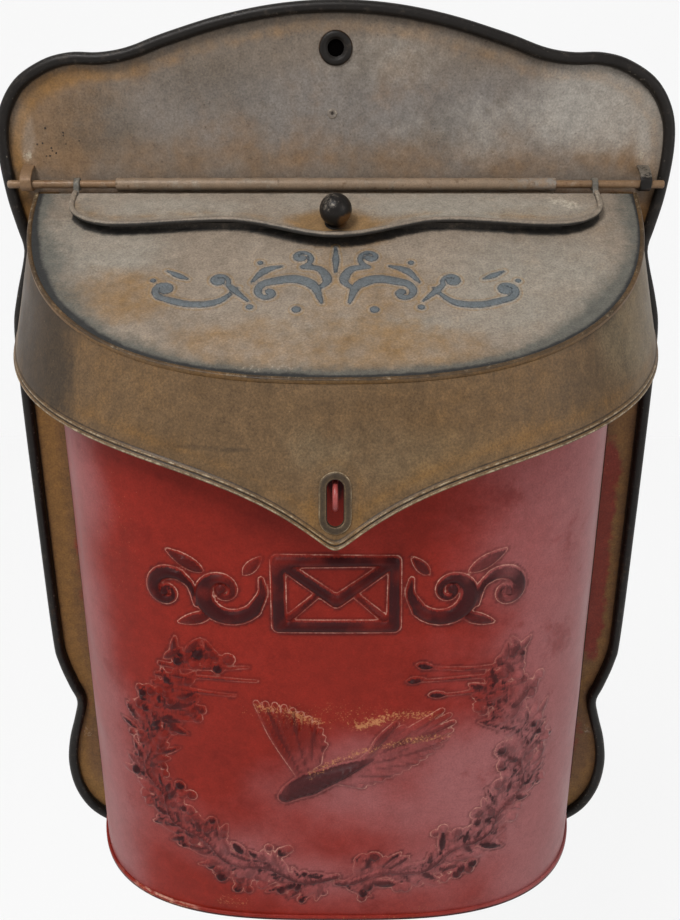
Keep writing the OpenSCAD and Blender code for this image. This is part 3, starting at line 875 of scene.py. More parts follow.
class LETTERBOX_OT_plate(bpy.types.Operator):
    """Scalloped back plate with its rolled rim"""

    bl_idname = "letterbox.plate"
    bl_label = "Back plate"

    def rim(self, centre, normal):
        section = circle(1.0, 18)
        swell = RIM_R * (1 - 0.03 * cloud(np.arange(len(centre)) / 9.0, 0 * centre[:, 0], 1, 3))
        form = sweep(centre, normal, swell[:, None, None] * section,
                     lambda p: p[..., [0, 2, 1]] - (0, RIM_R, 0), closed=True)
        x, z = form[0][:, 0], form[0][:, 2]
        face = np.tile(-section[:, 1], len(centre))
        return tag(
            form,
            worn=0.15 + 0.25 * cloud(x, z, 22, 5) + 0.35 * ridge(face, 0.75, 0.15),
            rust=0.35 * cloud(x, z, 30, 8) + 0.12 * step(-60, -330, z),
        )

    def sheet(self, centre, middle):
        back = np.array([0.0, 0.8, 1.8, 3, 4.5, 6.5, 9, 12, 16, 21, 27,
                         34, 42, 51, 61, 72, 85, 100, 118, 140])
        span = np.linalg.norm(centre - middle, axis=1)
        share = np.clip(1 - back / span[:, None], 0.02, 1)
        x, z = np.moveaxis(middle + (centre - middle)[:, None, :] * share[..., None], -1, 0)
        wave = dents(x, z, 46, 21) * step(0, 12, back)
        form = slab(np.stack([x, -SHEET - np.abs(wave) * 0.8, z], -1), np.stack([x, 0 * x, z], -1), wrap=True)
        near = np.tile(np.broadcast_to(back, x.shape).ravel(), 2)
        front = np.repeat([1.0, 0.0], x.size)
        x, z = form[0][:, 0], form[0][:, 2]
        top = step(-75, -40, z)
        sides = 1 - top
        right_stain = 1.1 * ridge(x, 134, 7.5) * step(-165, -195, z) * step(-325, -290, z)
        left_stain = 0.6 * ridge(x, -131, 4) * step(-190, -240, z) * step(-330, -290, z)
        low_stain = spots(x, z, (0.5, 132, -355, 8, 26), (0.4, -138, -340, 9, 30))
        return tag(
            form,
            glow=(0.75 * fade(near - 8, 4) + 0.3 * fade(near, 16)) * (0.8 + 0.5 * step(40, 130, -x))
            + 0.25 * sides,
            ochre=0.12 + 0.3 * cloud(x, z, 50, 31) + 0.5 * fade(z + 47, 9) * top
            + spots(x, z, (0.45, -132, -24, 44, 40), (0.25, 132, -34, 36, 22), (0.2, 26, -12, 14, 20)),
            grey=0.15 + 0.2 * cloud(x, z, 40, 34)
            + spots(x, z, (0.5, -20, -26, 95, 26), (0.55, 66, -28, 70, 30)),
            brown=0.95 * sides + 0.12 * cloud(x, z, 28, 33),
            pale=0.25 * top
            + spots(x, z, (0.75, 122, -18, 50, 34), (0.4, 70, -34, 70, 22), (0.35, 20, -4, 40, 18),
                          (0.45, -136, -34, 8, 20), (0.5, 140, -40, 12, 26)),
            # Painted shade: the dark line on the plate just outside the rim's foot; also dark round the
            # hanging hole and beside the body's sides low down
            soot=1.25 * fade(past(near, 1.9), 1.1) + spots(x, z, (0.9, 0, 0, 9, 9))
            + 0.425 * sides * fade(np.abs(x) - 134, 3) * step(-350, -330, z),
            smoke=top * (0.5 * fade(near, 12) + 0.3 * fade(z + 38, 6) + spots(
                x, z, (0.7, -52, -16, 40, 18), (0.7, -106, -30, 30, 24),
                (0.6, 44, -30, 24, 26), (0.6, 10, -12, 14, 24))),
            chalk=0.75 * ridge(near, 3.6, 0.7) * step(30, 110, x) * top
            + 0.5 * ridge(np.hypot(x, z), 8.6, 0.7)
            + spots(x, z, (0.85, -135.5, -44, 4, 5), (0.85, 134.5, -44, 4, 5),
                          (0.6, -137, -354, 7, 8), (0.6, 138, -352, 6, 7)),
            red=(right_stain + left_stain + low_stain) * sides * front,
        )

    def marks(self):
        """The small dimple under the eyelet and the pits by the left clip."""
        x, z = -1.5, -26.5
        profile = [(0.01, 0.95), (0.8, 0.95), (1.3, 1.25), (1.8, 1.2), (2.3, 0.85), (2.3, 0.6), (0.01, 0.6)]
        dimple = lathe(profile, on_plate(x, z), 32)
        off = np.hypot(dimple[0][:, 0] - x, dimple[0][:, 2] - z)
        yield tag(dimple, grey=0.5, ochre=0.3,
                  soot=1.2 * step(1.0, 0.5, off), chalk=0.75 * ridge(off, 1.6, 0.5))
        rng = np.random.default_rng(5)
        for _ in range(13):
            x, z, r = -121 + rng.normal(0, 5.5), -39 + rng.normal(0, 4.0), rng.uniform(0.25, 0.5)
            yield tag(lathe([(0.01, 1.0), (r, 1.0), (r, 0.7), (0.01, 0.7)], on_plate(x, z), 10), soot=1.2)

    def execute(self, context):
        bevel = 0.6 * RIM_R
        edge = closed_curve(loop_of("back_plate", -bevel), 560)
        normal = beside(edge, closed=True)
        middle = np.array([0.0, (PLATE_LO[2] + PLATE_HI[2]) / 2])
        if np.mean(np.sum(normal * (edge - middle), 1)) < 0:
            normal = -normal
        centre = edge - normal * RIM_R
        build("plate_rim", self.rim(centre, normal), "iron", "box")
        sheet = joined(self.sheet(centre, middle), *self.marks())
        plate = build("plate_sheet", sheet, "plate", "box", ("back_plate",))
        cut(plate, lathe([(0.01, -3), (4.3, -3), (4.3, 3), (0.01, 3)], on_plate(), 48))
        return {"FINISHED"}


class LETTERBOX_OT_hardware(bpy.types.Operator):
    """Eyelet, hinge clips and rod"""

    bl_idname = "letterbox.hardware"
    bl_label = "Small hardware"

    def execute(self, context):
        inner = [(HOLE_R + r, h) for r, h in ((0, 0.02), (0.7, 0.02), (0.7, SHEET))]
        dish = [(EYE_R - r, SHEET + h) for r, h in (
            (0.25, 0), (0, 0.3), (0.15, 0.75), (0.9, 1.25), (1.9, 1.4), (2.7, 1.15))]
        lip = [(HOLE_R + 0.45, SHEET + 0.55), (HOLE_R, SHEET + 0.25)]
        ring = lathe(inner + dish + lip, on_plate())
        off = np.hypot(ring[0][:, 0], ring[0][:, 2])
        tag(ring, rust=0.55 * step(EYE_R - 1.2, EYE_R, off),
            worn=0.35 * ridge(off, EYE_R - 1.7, 0.7) * step(-3, 6, ring[0][:, 2]) + 0.1)
        build("eyelet_ring", ring, "iron", "box", ("hanging_eyelet",))

        top, foot, nose = CLIP_HI[2] - ROD_Z, CLIP_LO[2] - ROD_Z, CLIP_LO[1]
        path = even(curve_through([
            (-0.5, top - 0.75), (-2.5, top - 1.0), (-6.6, top - 2.6),
            (nose + 0.75, top - 5.2), (nose + 0.62, 0.0),
            (nose + 1.1, foot + 1.8), (ROD_Y, foot + 0.6), (-3.0, foot + 0.6), (-SHEET, foot + 0.6),
        ], 56), 54)
        section = rounded(CLIP_HI[0] - CLIP_LO[0], 1.1, 0.4, 3)[:, ::-1]
        middle = (CLIP_HI[0] + CLIP_LO[0]) / 2
        for sign, label, finish, rubbed in ((-1, "left", "steel", 0.1), (1, "right", "iron", 0.7)):
            clip = sweep(path, -beside(path), section, side_view(sign * middle, ROD_Z))
            height = clip[0][:, 2] - ROD_Z
            tag(clip, worn=0.2 + rubbed * step(1.5, 4.5, height), rust=0.5 * step(3.0, -3.0, height))
            build("clip_" + label, clip, finish, "box", ("hinge_clip_" + label,), sharp=60)

        half = ROD_HI[0]
        end = [(0.01, half), (ROD_R - 0.5, half), (ROD_R, half - 0.5)]
        shaft = [(ROD_R, h) for h in np.linspace(-half + 3, half - 3, 60)]
        profile = [(r, -h) for r, h in end] + shaft + end[::-1]
        rod = lathe(profile, on_rod(), 32)
        x = rod[0][:, 0]
        tag(rod, worn=0.15 + 0.25 * cloud(x, 0 * x, 9, 4) + spots(x, 0 * x, (0.55, -119, 0, 2, 2)))
        build("rod", rod, "steel", "box", ("hinge_rod",))
        return {"FINISHED"}


class LETTERBOX_OT_body(bpy.types.Operator):
    """Bowed body with its pressed ornament, floor and folded seam"""

    bl_idname = "letterbox.body"
    bl_label = "Body"

    low = BODY_LO[2]

    def plan(self, grain):
        """Plan points of the wall, their outward directions and places along the sheet."""
        fine = bow(BODY_HALF, BODY_DEPTH - SHEET, BODY_SQUARE, 4000) + (0, -SHEET)
        run = np.concatenate([[0], np.cumsum(np.linalg.norm(np.diff(fine, axis=0), axis=1))])
        half = run[-1] / 2
        far = np.linspace(106, half - 0.6, 22)[1:]
        at = np.concatenate([-far[::-1], np.arange(-106, 106.01, grain), far])
        points = np.stack([np.interp(at + half, run, fine[:, k]) for k in (0, 1)], -1)[::-1]
        return points, frontward(points), at

    def wall(self, sizes):
        grain = sizes.relief_step / MM
        points, normal, at = self.plan(grain)
        low, high = self.low, -180.0
        rows = np.concatenate([np.linspace(low, -374, 6)[:-1], np.arange(-374, high, grain)])
        top = LID_Z - (SEAM_H + 0.5) / math.cos(LID_SLOPE) + (points[:, 1] - LID_Y) * math.tan(LID_SLOPE)
        z = np.concatenate([np.tile(rows, (len(at), 1)),
                            high + (top - high)[:, None] * np.linspace(0, 1, 12)], 1)
        u = np.broadcast_to(at[:, None], z.shape)
        art = Ornament(u, z)
        for drawing in (wreath, bird, emblem):
            drawing(art, sizes.relief / MM)
        pressed = step(108, 100, np.abs(u)) * step(-380, -374, z)
        rise = art.height * pressed + dents(u, z, 38, 51, 1.4) * step(0, 10, z - low)

        def skin(off):
            plan = points[:, None] + normal[:, None] * off[..., None]
            return np.concatenate([plan, z[..., None]], -1)

        ring = np.hypot(u / 1.42, z + 299)
        gilt = 0.40 * art.gold + spots(u, z, (0.26, -2, -268, 60, 12))
        return tag(
            slab(skin(rise), skin(rise - SHEET)),
            mark=np.where(pressed > 0.5, art.mark, UNMARKED),
            tone=art.tone * np.clip(0.25 + 1.5 * cloud(u, z, 9, 63), 0, 1),
            line=art.line * np.clip(-0.45 + 2.2 * cloud(u, z, 6, 65), 0, 1),
            # Mauve bloom of the paint round the wreath, plus a painted mauve sheen down both sides and over
            # the right
            bloom=0.10 + 0.62 * step(50, 112, u) + 0.6 * step(84, 116, -u) * step(150, 118, -u)
            + 0.42 * step(-20, 80, u) + 0.38 * ridge(ring, 62, 15) * step(-255, -310, z)
            + 0.18 * step(-250, -350, z)
            + spots(u, z, (0.16, -30, -345, 70, 26), (0.5, 24, -303, 92, 44))
            + 0.5 * (cloud(u, z, 34, 61) - 0.5),
            # Darker at the bottom and the sides; painted shade along the top under the lid, and a dark patch
            # behind the staple as painted shade seen through the apron's slot
            soot=0.95 * fade(z - low, 1.6) + 0.3 * step(126, 150, np.abs(u)) * cloud(u, z, 20, 62)
            + 0.8 * fade(top[:, None] - z, 5) + spots(u, z, (0.9, 0, STAPLE_Z, 6, 14)),
            gold=gilt * (0.6 + 0.8 * cloud(u, z, 9, 64)) * pressed + 0.12
            + spots(u, z, (0.34, -50, -377, 14, 6), (0.2, 36, -379, 18, 5), (0.16, -98, -190, 26, 60)),
        )

    def flange(self, side):
        """Strip of the wall that lies on the plate."""
        reach = BODY_HI[0]
        across = np.append(BODY_HALF + np.array([-0.75, 0.4, 1.4, 3.5, 6]), [reach - 0.5, reach])
        x, z = np.meshgrid(side * across, np.linspace(self.low, BODY_HI[2], 120), indexing="ij")
        lift = np.array([0.5, 0.5, 0.1, 0, 0, 0, -0.1])[:, None] + 0.12 * (cloud(z, x, 15, 66) - 0.5)
        seam = np.abs(x) - BODY_HALF - 0.6
        return tag(
            slab(np.stack([x, -2 * SHEET - lift, z], -1), np.stack([x, 0 * x - SHEET, z], -1)),
            olive=0.95 - 0.75 * step(0.52, 0.7, cloud(x * 2, z, 16, 68)) * step(-120, -200, z),
            mark=UNMARKED,
            soot=0.7 * fade(seam, 0.6) + 1.1 * fade(np.abs(x) - reach, 0.7),
        )

    def hem(self):
        """Folded seam round the floor, in the body's enamel and dark below."""
        seam = bow(BODY_HALF + SHEET / 2, BODY_DEPTH - SHEET / 2, BODY_SQUARE, 1200) + (0, -SHEET)
        seam = even(seam[seam[:, 1] < -1.2], 300)
        height = (FLOOR_HI[2] + FLOOR_LO[2]) / 2
        form = sweep(seam, frontward(seam), rounded(1.7, FLOOR_HI[2] - FLOOR_LO[2], 0.8),
                     lambda p: p + (0, 0, height))
        x, z = form[0][:, 0], form[0][:, 2]
        return tag(
            form,
            soot=step(0.55, -0.45, z - height) + 0.25 * cloud(x, z, 9, 71),
            # Same mauve bloom and painted sheen on the hem, stronger to the right
            bloom=0.35 + 0.5 * step(30, 110, x),
            mark=-0.5,
            line=spots(x, 0 * x, (0.95, -86, 0, 26, 26)) * step(0.45, 0.6, cloud(x, z * 3, 4, 73)),
            gold=0.15 + spots(x, 0 * x, (0.36, -84, 0, 26, 26), (0.2, 20, 0, 40, 40)),
        )

    def floor(self):
        plan = bow(BODY_HALF, BODY_DEPTH - SHEET, BODY_SQUARE, 160) + (0, -SHEET)
        flat = (0, -SHEET) + (plan[:, None] - (0, -SHEET)) * np.linspace(0, 1, 12)[:, None]
        flat[:, 0] = (0, -SHEET - 0.01)
        under = np.insert(flat, 2, FLOOR_LO[2], -1)
        return tag(slab(under, under + (0, 0, SHEET)), soot=0.9)

    def execute(self, context):
        wall = joined(self.wall(context.scene.letterbox_sizes), self.flange(-1), self.flange(1))
        build("body_wall", wall, "body", "box", ("body_shell",), sharp=60)
        build("body_floor", joined(self.hem(), self.floor()), "body", "box", ("bottom_panel",))
        return {"FINISHED"}


class LETTERBOX_OT_apron(bpy.types.Operator):
    """Flared apron with its tongue, rolled hem and ringed slot"""

    bl_idname = "letterbox.apron"
    bl_label = "Apron"

    def sheet(self):
        q = lid_outline(430)
        q[:, 1] = np.minimum(q[:, 1], -0.001)
        across, along = (np.abs(q) / (LID_HALF, LID_LEN)).T ** (LID_SQUARE - 1)
        lean = np.stack([np.sign(q[:, 0]) * across / LID_HALF, -along / LID_LEN / math.cos(LID_SLOPE)], -1)
        lean /= np.linalg.norm(lean, axis=1)[:, None]
        tongue = TONGUE_H * fade(np.hypot(q[:, 0], 3) - 3, TONGUE_SPREAD)
        low = (APRON_H - APRON_GAIN * q[:, 1] + q[:, 1] * math.sin(LID_SLOPE) + tongue)[:, None]
        start = SEAM_H / math.cos(LID_SLOPE) * 0.6
        hem = np.array([5.5, 4.6, 4.0, 3.6, 3.3, 3.0, 2.7, 2.4, 2.1, 1.9, 1.7, 1.5, 1.2, 0.9, 0.6, 0.3, 0.0])
        fall = np.concatenate([start + (low - 6 - start) * np.linspace(0, 1, 44)[:-1], low - hem], 1)
        up = low - fall

        def roll(middle, half):
            return np.sqrt(np.clip(1 - ((up - middle) / half) ** 2, 0, 1))

        def skin(off):
            out = (FLARE - TUCK * (q[:, :1] / LID_HALF) ** 2) * fall + off
            return np.stack([
                q[:, None, 0] + lean[:, None, 0] * out,
                LID_Y + q[:, None, 1] * math.cos(LID_SLOPE) + lean[:, None, 1] * out,
                LID_Z + q[:, None, 1] * math.sin(LID_SLOPE) - fall,
            ], -1)

        bead = 0.68 * roll(0.85, 0.85) + 0.6 * roll(2.7, 0.8)
        run = np.linspace(-200, 200, len(q))[:, None] + 0 * fall
        wave = dents(run, fall, 34, 81, 1.5) * step(0, 9, up) * step(0, 8, fall)
        outer = skin(bead + wave)
        x, z = outer[..., 0], outer[..., 2]
        slot = np.hypot(x, past(np.abs(z - HASP_Z), 6))
        return tag(
            slab(outer, skin(-SHEET - 0.8 * bead + wave)),
            ochre=0.10 + 0.35 * cloud(x, z, 36, 85) + 0.42 * fade(up - 8.5, 5) + 0.35 * fade(slot - 9, 2.5)
            + 0.15 * step(40, 10, fall) + spots(x, z, (0.25, -126, -106, 16, 26)),
            pale=0.10 + 0.3 * cloud(x, z, 60, 86)
            + spots(x, z, (0.75, 124, -96, 30, 44), (0.25, 30, -138, 70, 20), (0.3, -140, -92, 10, 26)),
            soot=0.2 * cloud(x, z, 40, 87) + 0.95 * fade(fall, 1.6)
            + spots(x, z, (0.85, -120, -112, 26, 50)) * step(0, 6, up)
            + spots(x, z, (0.35, 104, -118, 30, 40), (0.5, -46, -137, 26, 2), (0.4, -60, -140, 12, 1.5)),
            groove=1.1 * ridge(up, 1.85, 0.3) + 0.62 * ridge(up, 3.7, 0.5),
            worn=0.66 * ridge(up, 0.8, 0.6) + 0.66 * ridge(up, 2.75, 0.45) + 0.05,
        )

    def execute(self, context):
        apron = build("apron_sheet", self.sheet(), "apron", "lid", ("lid_skirt",), sharp=70)
        cut(apron, prism(stadium(HASP_W / 2, HASP_H / 2), -7.0, 7.0, on_hasp), sharp=70)

        track = stadium(HASP_W / 2 + 1.55, HASP_H / 2 + 1.55, 28)
        section = rounded(3.1, 2.2, 0.95)
        ring = sweep(track, beside(track, closed=True), section + (0, 0.1), on_hasp, closed=True)
        across = section[:, 0]
        tag(ring, pale=0.5, soot=0.52 + 0.75 * ridge(across, 0.1, 0.8),
            groove=0.75 * step(-0.9, -1.45, across),
            worn=0.66 * step(0.9, 1.35, across) + 0.5 * ridge(across, -0.9, 0.25))
        build("slot_ring", ring, "apron", "lid")
        return {"FINISHED"}


class LETTERBOX_OT_lid(bpy.types.Operator):
    """Sloping top with scrollwork, folded seam, letter slot and hinge barrel"""

    bl_idname = "letterbox.lid"
    bl_label = "Lid top"

    def panel(self, sizes):
        across = np.linspace(-LID_HALF + 0.35, LID_HALF - 0.35, 250)
        deep = LID_LEN * (1 - (np.abs(across) / LID_HALF) ** LID_SQUARE) ** (1 / LID_SQUARE)
        y = -deep[:, None] * np.linspace(0, 1, 106)
        x = np.broadcast_to(across[:, None], y.shape)
        art = Ornament(x, y)
        lid_scrolls(art)
        edge = np.full(x.shape, 999.0)
        for p in lid_outline(240):
            edge = np.minimum(edge, art.disc(*p, 0))
        rise = art.height * sizes.scroll / MM + dents(x, y, 40, 91, 1.2) * step(2, 14, edge)
        # Distance from the flap's front edge, for the painted shadow the flap casts on the lid
        shade = flap_front(x) * 0.965 + 4.0 - np.abs(y)
        rubbed = (0.72 + 0.5 * cloud(x, y, 26, 93)) * (1.0 - 0.2 * x / LID_HALF)
        blued = (1.05 + spots(x, y, (0.35, 100, -78, 46, 40))) * (0.6 + 0.7 * cloud(x, y, 24, 90))
        return tag(
            slab(on_lid(np.stack([x, y, rise], -1)), on_lid(np.stack([x, y, rise - SHEET], -1))),
            # Blackened lid edge and dark patches, plus a painted shadow band just in front of the flap's edge
            soot=1.2 * fade(past(edge, 1.2), 0.9 + 1.9 * cloud(x, y, 16, 92)) * rubbed
            + spots(x, y, (0.55, -124, -52, 22, 60), (0.4, -110, -84, 24, 22)) * fade(edge, 7)
            + 0.8 * step(-3.0, 1.5, shade) * (np.abs(x) < FLAP_HALF - 1),
            blue=blued * fade(past(edge, 3), 4.5 + 6 * step(60, 125, np.abs(x)))
            + spots(x, y, (0.25, -95, -40, 40, 40)),
            ochre=0.05 + 0.4 * cloud(x, y, 30, 94) + spots(
                x, y, (0.5, -90, -66, 40, 24), (0.45, 0, -94, 96, 28),
                (0.25, 0, -58, 60, 24), (0.35, 0, -30, 30, 12)),
            pale=0.20 + 0.25 * cloud(x, y, 50, 95)
            + spots(x, y, (0.45, 80, -55, 50, 45), (0.5, -96, -34, 40, 30), (0.3, 20, -84, 60, 12)),
            mark=art.mark,
            worn=0.12 + 0.15 * cloud(x, y, 20, 96) + spots(x, y, (0.32, -26, -106, 24, 4)),
        )

    def seam(self):
        q = lid_outline(420)
        section = rounded(2.0, SEAM_H + 0.5, 0.75) + (0.2, -(SEAM_H - 0.5) / 2)
        form = sweep(q, frontward(q), section, on_lid)
        x, y, height = form[0][:, 0], form[0][:, 1], np.tile(section[:, 1], len(q))
        return tag(
            form,
            worn=0.05 + 0.35 * step(-0.2, 0.4, height) + 0.25 * (cloud(x, y, 12, 97) - 0.4),
            soot=0.75 * step(-2.0, -2.9, height) + 0.75 * step(-0.3, 0.2, height),
            ochre=0.45 + 0.4 * cloud(x, y, 20, 99),
        )

    def collar(self):
        """Upturned lip round the letter slot, up to just under the flap."""
        w, y0, y1 = SLOT_HALF + 0.5, -SLOT_BACK + 0.5, -SLOT_BACK - SLOT_H - 0.5
        corners = np.array([(-w, y0), (w, y0), (w, y1), (-w, y1), (-w, y0)])
        line = np.vstack([even(corners[i : i + 2], 40)[:-1] for i in range(4)])
        x, y = line.T
        across = np.sign(x) * (np.abs(x) > w - 0.01)
        nudge = 0.45 * np.stack([across, 1.0 * (y > y0 - 0.01) - 1.0 * (y < y1 + 0.01)], -1)

        def wall(points):
            foot = np.insert(points, 2, -SHEET, 1)
            y, z = on_lid(np.insert(points, 2, 0, 1))[:, 1:].T
            flap_under = FLAP_Z + (y - FLAP_Y) * math.tan(FLAP_SLOPE) - (SHEET + 0.35) / math.cos(FLAP_SLOPE)
            top = np.column_stack([points, (flap_under - z) * math.cos(LID_SLOPE) * 0.94])
            return foot, top

        (foot, top), (outer_foot, outer_top) = wall(line - nudge), wall(line + nudge)
        rings = np.stack([foot, top, outer_top, outer_foot], 1)
        return tag(tube(on_lid(rings), closed=True), soot=0.8, mark=UNMARKED)

    def barrel(self):
        end = [(BORE_R, BARREL_HALF), (BARREL_R - 0.3, BARREL_HALF), (BARREL_R, BARREL_HALF - 0.4)]
        profile = [(r, -h) for r, h in end]
        profile += [(BARREL_R + 0.08 * math.sin(h * 0.7), h)
                    for h in np.linspace(2 - BARREL_HALF, BARREL_HALF - 2, 90)]
        form = lathe(profile + end[::-1], on_rod(), 32)
        x = form[0][:, 0]
        tag(form, worn=0.2 + 0.25 * cloud(x, 0 * x, 14, 98) + spots(x, 0 * x, (0.32, 88, 0, 16, 16)))
        # Web that carries the barrel down to the lid's back edge
        back = ROD_Y + BARREL_R - 0.15
        floor = LID_Z + (back - 0.45 - LID_Y) * math.tan(LID_SLOPE)
        web = np.array([(back - 0.9, ROD_Z), (back, ROD_Z), (back, floor + 0.3), (back - 0.5, floor - 0.8),
                        (LID_Y, LID_Z - 0.9), (LID_Y, LID_Z), (back - 0.9, floor + 0.1)])
        return joined(form, prism(web, 0.3 - BARREL_HALF, BARREL_HALF - 0.3, side_view()))

    def execute(self, context):
        top = self.panel(context.scene.letterbox_sizes)
        panel = build("lid_panel", top, "lid", "lid", ("lid_top",), sharp=50)
        front = -SLOT_BACK - SLOT_H
        slot = np.array([(-SLOT_HALF, -SLOT_BACK), (SLOT_HALF, -SLOT_BACK),
                         (SLOT_HALF, front), (-SLOT_HALF, front)])
        cut(panel, prism(slot, -5.0, 5.0, on_lid), sharp=50)
        build("lid_seam", self.seam(), "apron", "lid")
        build("lid_barrel", self.barrel(), "barrel", "lid")
        build("slot_collar", self.collar(), "lid", "lid")
        return {"FINISHED"}


def flap_front(x):
    """How far the flap reaches down its slope at a place across."""
    ax = np.abs(x)
    far = FLAP_HALF - FLAP_CORNER[0]
    turn = np.clip((ax - far) / FLAP_CORNER[0], 0, 1)
    corner = FLAP_LEN - FLAP_CORNER[1] * (1 - np.sqrt(1 - turn**2))

    def swell(t):
        return np.cos(np.clip(t, 0, 1) * math.pi / 2) ** 2

    hollow = np.where(ax < FLAP_BOW_HALF, 1, swell((ax - FLAP_BOW_HALF) / (far - FLAP_BOW_HALF)))
    return corner - FLAP_WAVE * hollow + (FLAP_BOW + FLAP_WAVE) * swell(ax / FLAP_BOW_HALF)


class LETTERBOX_OT_flap(bpy.types.Operator):
    """Letter flap with rolled edge, ears and ball knob"""

    bl_idname = "letterbox.flap"
    bl_label = "Letter flap"

    def sheet(self):
        across = np.linspace(0.4 - FLAP_HALF, FLAP_HALF - 0.4, 230)
        share = np.linspace(0, 1, 26)
        reach = flap_front(across)[:, None] - 0.6
        y = -reach * share
        x = np.broadcast_to(across[:, None], y.shape)
        rim = reach + y
        rise = 0.3 * np.sin(share * math.pi) + 0.9 * step(4.5, 0.8, rim)
        return tag(
            slab(on_flap(np.stack([x, y, rise], -1)), on_flap(np.stack([x, y, rise - SHEET], -1))),
            # Dark line inside the hem; painted shade along the back edge under the barrel, a painted shadow
            # just below the knob and a faint dark patch up to its right
            soot=0.55 * fade(rim - 2.6, 0.7) + 0.6 * fade(y, 1.6)
            + spots(x, y, (0.55, 1, -26, 9, 7), (0.2, 12, -18, 9, 6)),
            ochre=0.12 + 0.35 * cloud(x, y, 24, 101) + 0.3 * fade(rim - 6, 3)
            + spots(x, y, (0.7, 0, -24, 26, 16)),
            pale=0.5 + 0.2 * cloud(x, y, 40, 103)
            + spots(x, y, (0.45, 60, -12, 55, 14), (0.25, -70, -12, 40, 12)),
            blue=spots(x, y, (0.5, -106, -10, 10, 12)),
            worn=0.08 + 0.15 * cloud(x, y, 20, 104) + spots(x + 0.8 * y, y, (0.55, 92, -8, 10, 9)),
            mark=UNMARKED,
        )

    def bead(self):
        """Rolled edge along both sides and the front."""
        xs = np.linspace(-FLAP_HALF, FLAP_HALF, 400)
        front = np.stack([xs, -flap_front(xs)], -1)
        back = np.linspace(0, front[0, 1], 9)[:-1]
        sides = [np.stack([np.full(8, x), back], -1) for x in (-FLAP_HALF, FLAP_HALF)]
        line = even(np.vstack([sides[0], front, sides[1][::-1]]), 380)
        half = FLAP_HEM / 2
        section = circle(half, 14)
        form = sweep(line, frontward(line), section + (-half, half - SHEET), on_flap)
        x, y = np.repeat(line, 14, 0).T
        rise = np.tile(section[:, 1] / half, len(line))
        return tag(
            form,
            # Pale line along the bead's top is a painted highlight, with rubbed wear toward the ends; the
            # darker lower half is painted shade
            worn=0.05 + 0.35 * ridge(rise, 0.85, 0.15) + 0.25 * step(88, 113, np.abs(x))
            + 0.25 * (cloud(x, y, 14, 105) - 0.5),
            soot=0.30 + 0.7 * step(0.75, 0.1, rise) - 0.30 * step(90, 112, np.abs(x))
            + 0.2 * cloud(x, y, 26, 106),
            blue=0.42,
            mark=UNMARKED,
        )

    def ear(self, side):
        """Eye round the rod and the arm that carries the flap from it."""
        middle = side * (FLAP_HALF - 1.55)
        end = [(BORE_R, 1.25), (BARREL_R - 0.2, 1.25), (BARREL_R, 1.0)]
        eye = lathe([(r, -h) for r, h in end] + end[::-1], on_rod(middle), 32)
        arm = curve_through([(ROD_Y - 1.0, ROD_Z + BARREL_R - 0.75), (ROD_Y - 2.9, ROD_Z + 0.6),
                             (FLAP_Y + 0.3, FLAP_Z + 0.3), (FLAP_Y - 2.0, FLAP_Z - 1.0)], 18)
        strap = sweep(arm, -beside(arm), rounded(2.4, 1.0, 0.35, 3)[:, ::-1], side_view(middle))
        return tag(joined(eye, strap), worn=0.45, soot=0.45, blue=0.8, mark=UNMARKED)

    def knob(self):
        ball = (KNOB_HI[0] - KNOB_LO[0]) / 2
        centre = 1.0 + ball * 0.92
        arc = [(ball * math.cos(a), centre + ball * math.sin(a))
               for a in np.radians(np.linspace(-62, 88, 34))]
        foot = [(0.02, 0.1), (4.4, 0.1), (4.6, 0.45), (4.2, 0.8), (3.1, 0.95)]
        profile = foot + arc + [(0.02, centre + ball)]
        form = lathe(profile, lambda p: on_flap(p + (0, 1.5 - FLAP_LEN, 0)), 56)
        x, z = form[0][:, 0], form[0][:, 2]
        # Ochre rust patch low on the right; the pale patch up on the left is a painted highlight over general
        # wear
        return tag(form, rust=0.22 + spots(x, z, (0.75, 5.5, -66, 6.5, 6.5)),
                   worn=0.28 + spots(x, z, (0.4, -3.5, -57, 7, 7)))

    def execute(self, context):
        flap = joined(self.sheet(), self.bead(), self.ear(-1), self.ear(1))
        build("flap_sheet", flap, "lid", "flap", ("letter_flap",), sharp=50)
        build("knob_ball", self.knob(), "iron", "flap", ("flap_knob",), sharp=70)
        return {"FINISHED"}


class LETTERBOX_OT_carried(bpy.types.Operator):
    """Finishes for the frame's own screw and staple"""

    bl_idname = "letterbox.carried"
    bl_label = "Screw and staple"

    def execute(self, context):
        for name, finish in (("knob_screw", "steel"), ("hasp_staple", "staple")):
            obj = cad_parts[name]
            obj.data.materials.clear()
            obj.data.materials.append(FINISH[finish])
            soften(obj, 40)
        return {"FINISHED"}


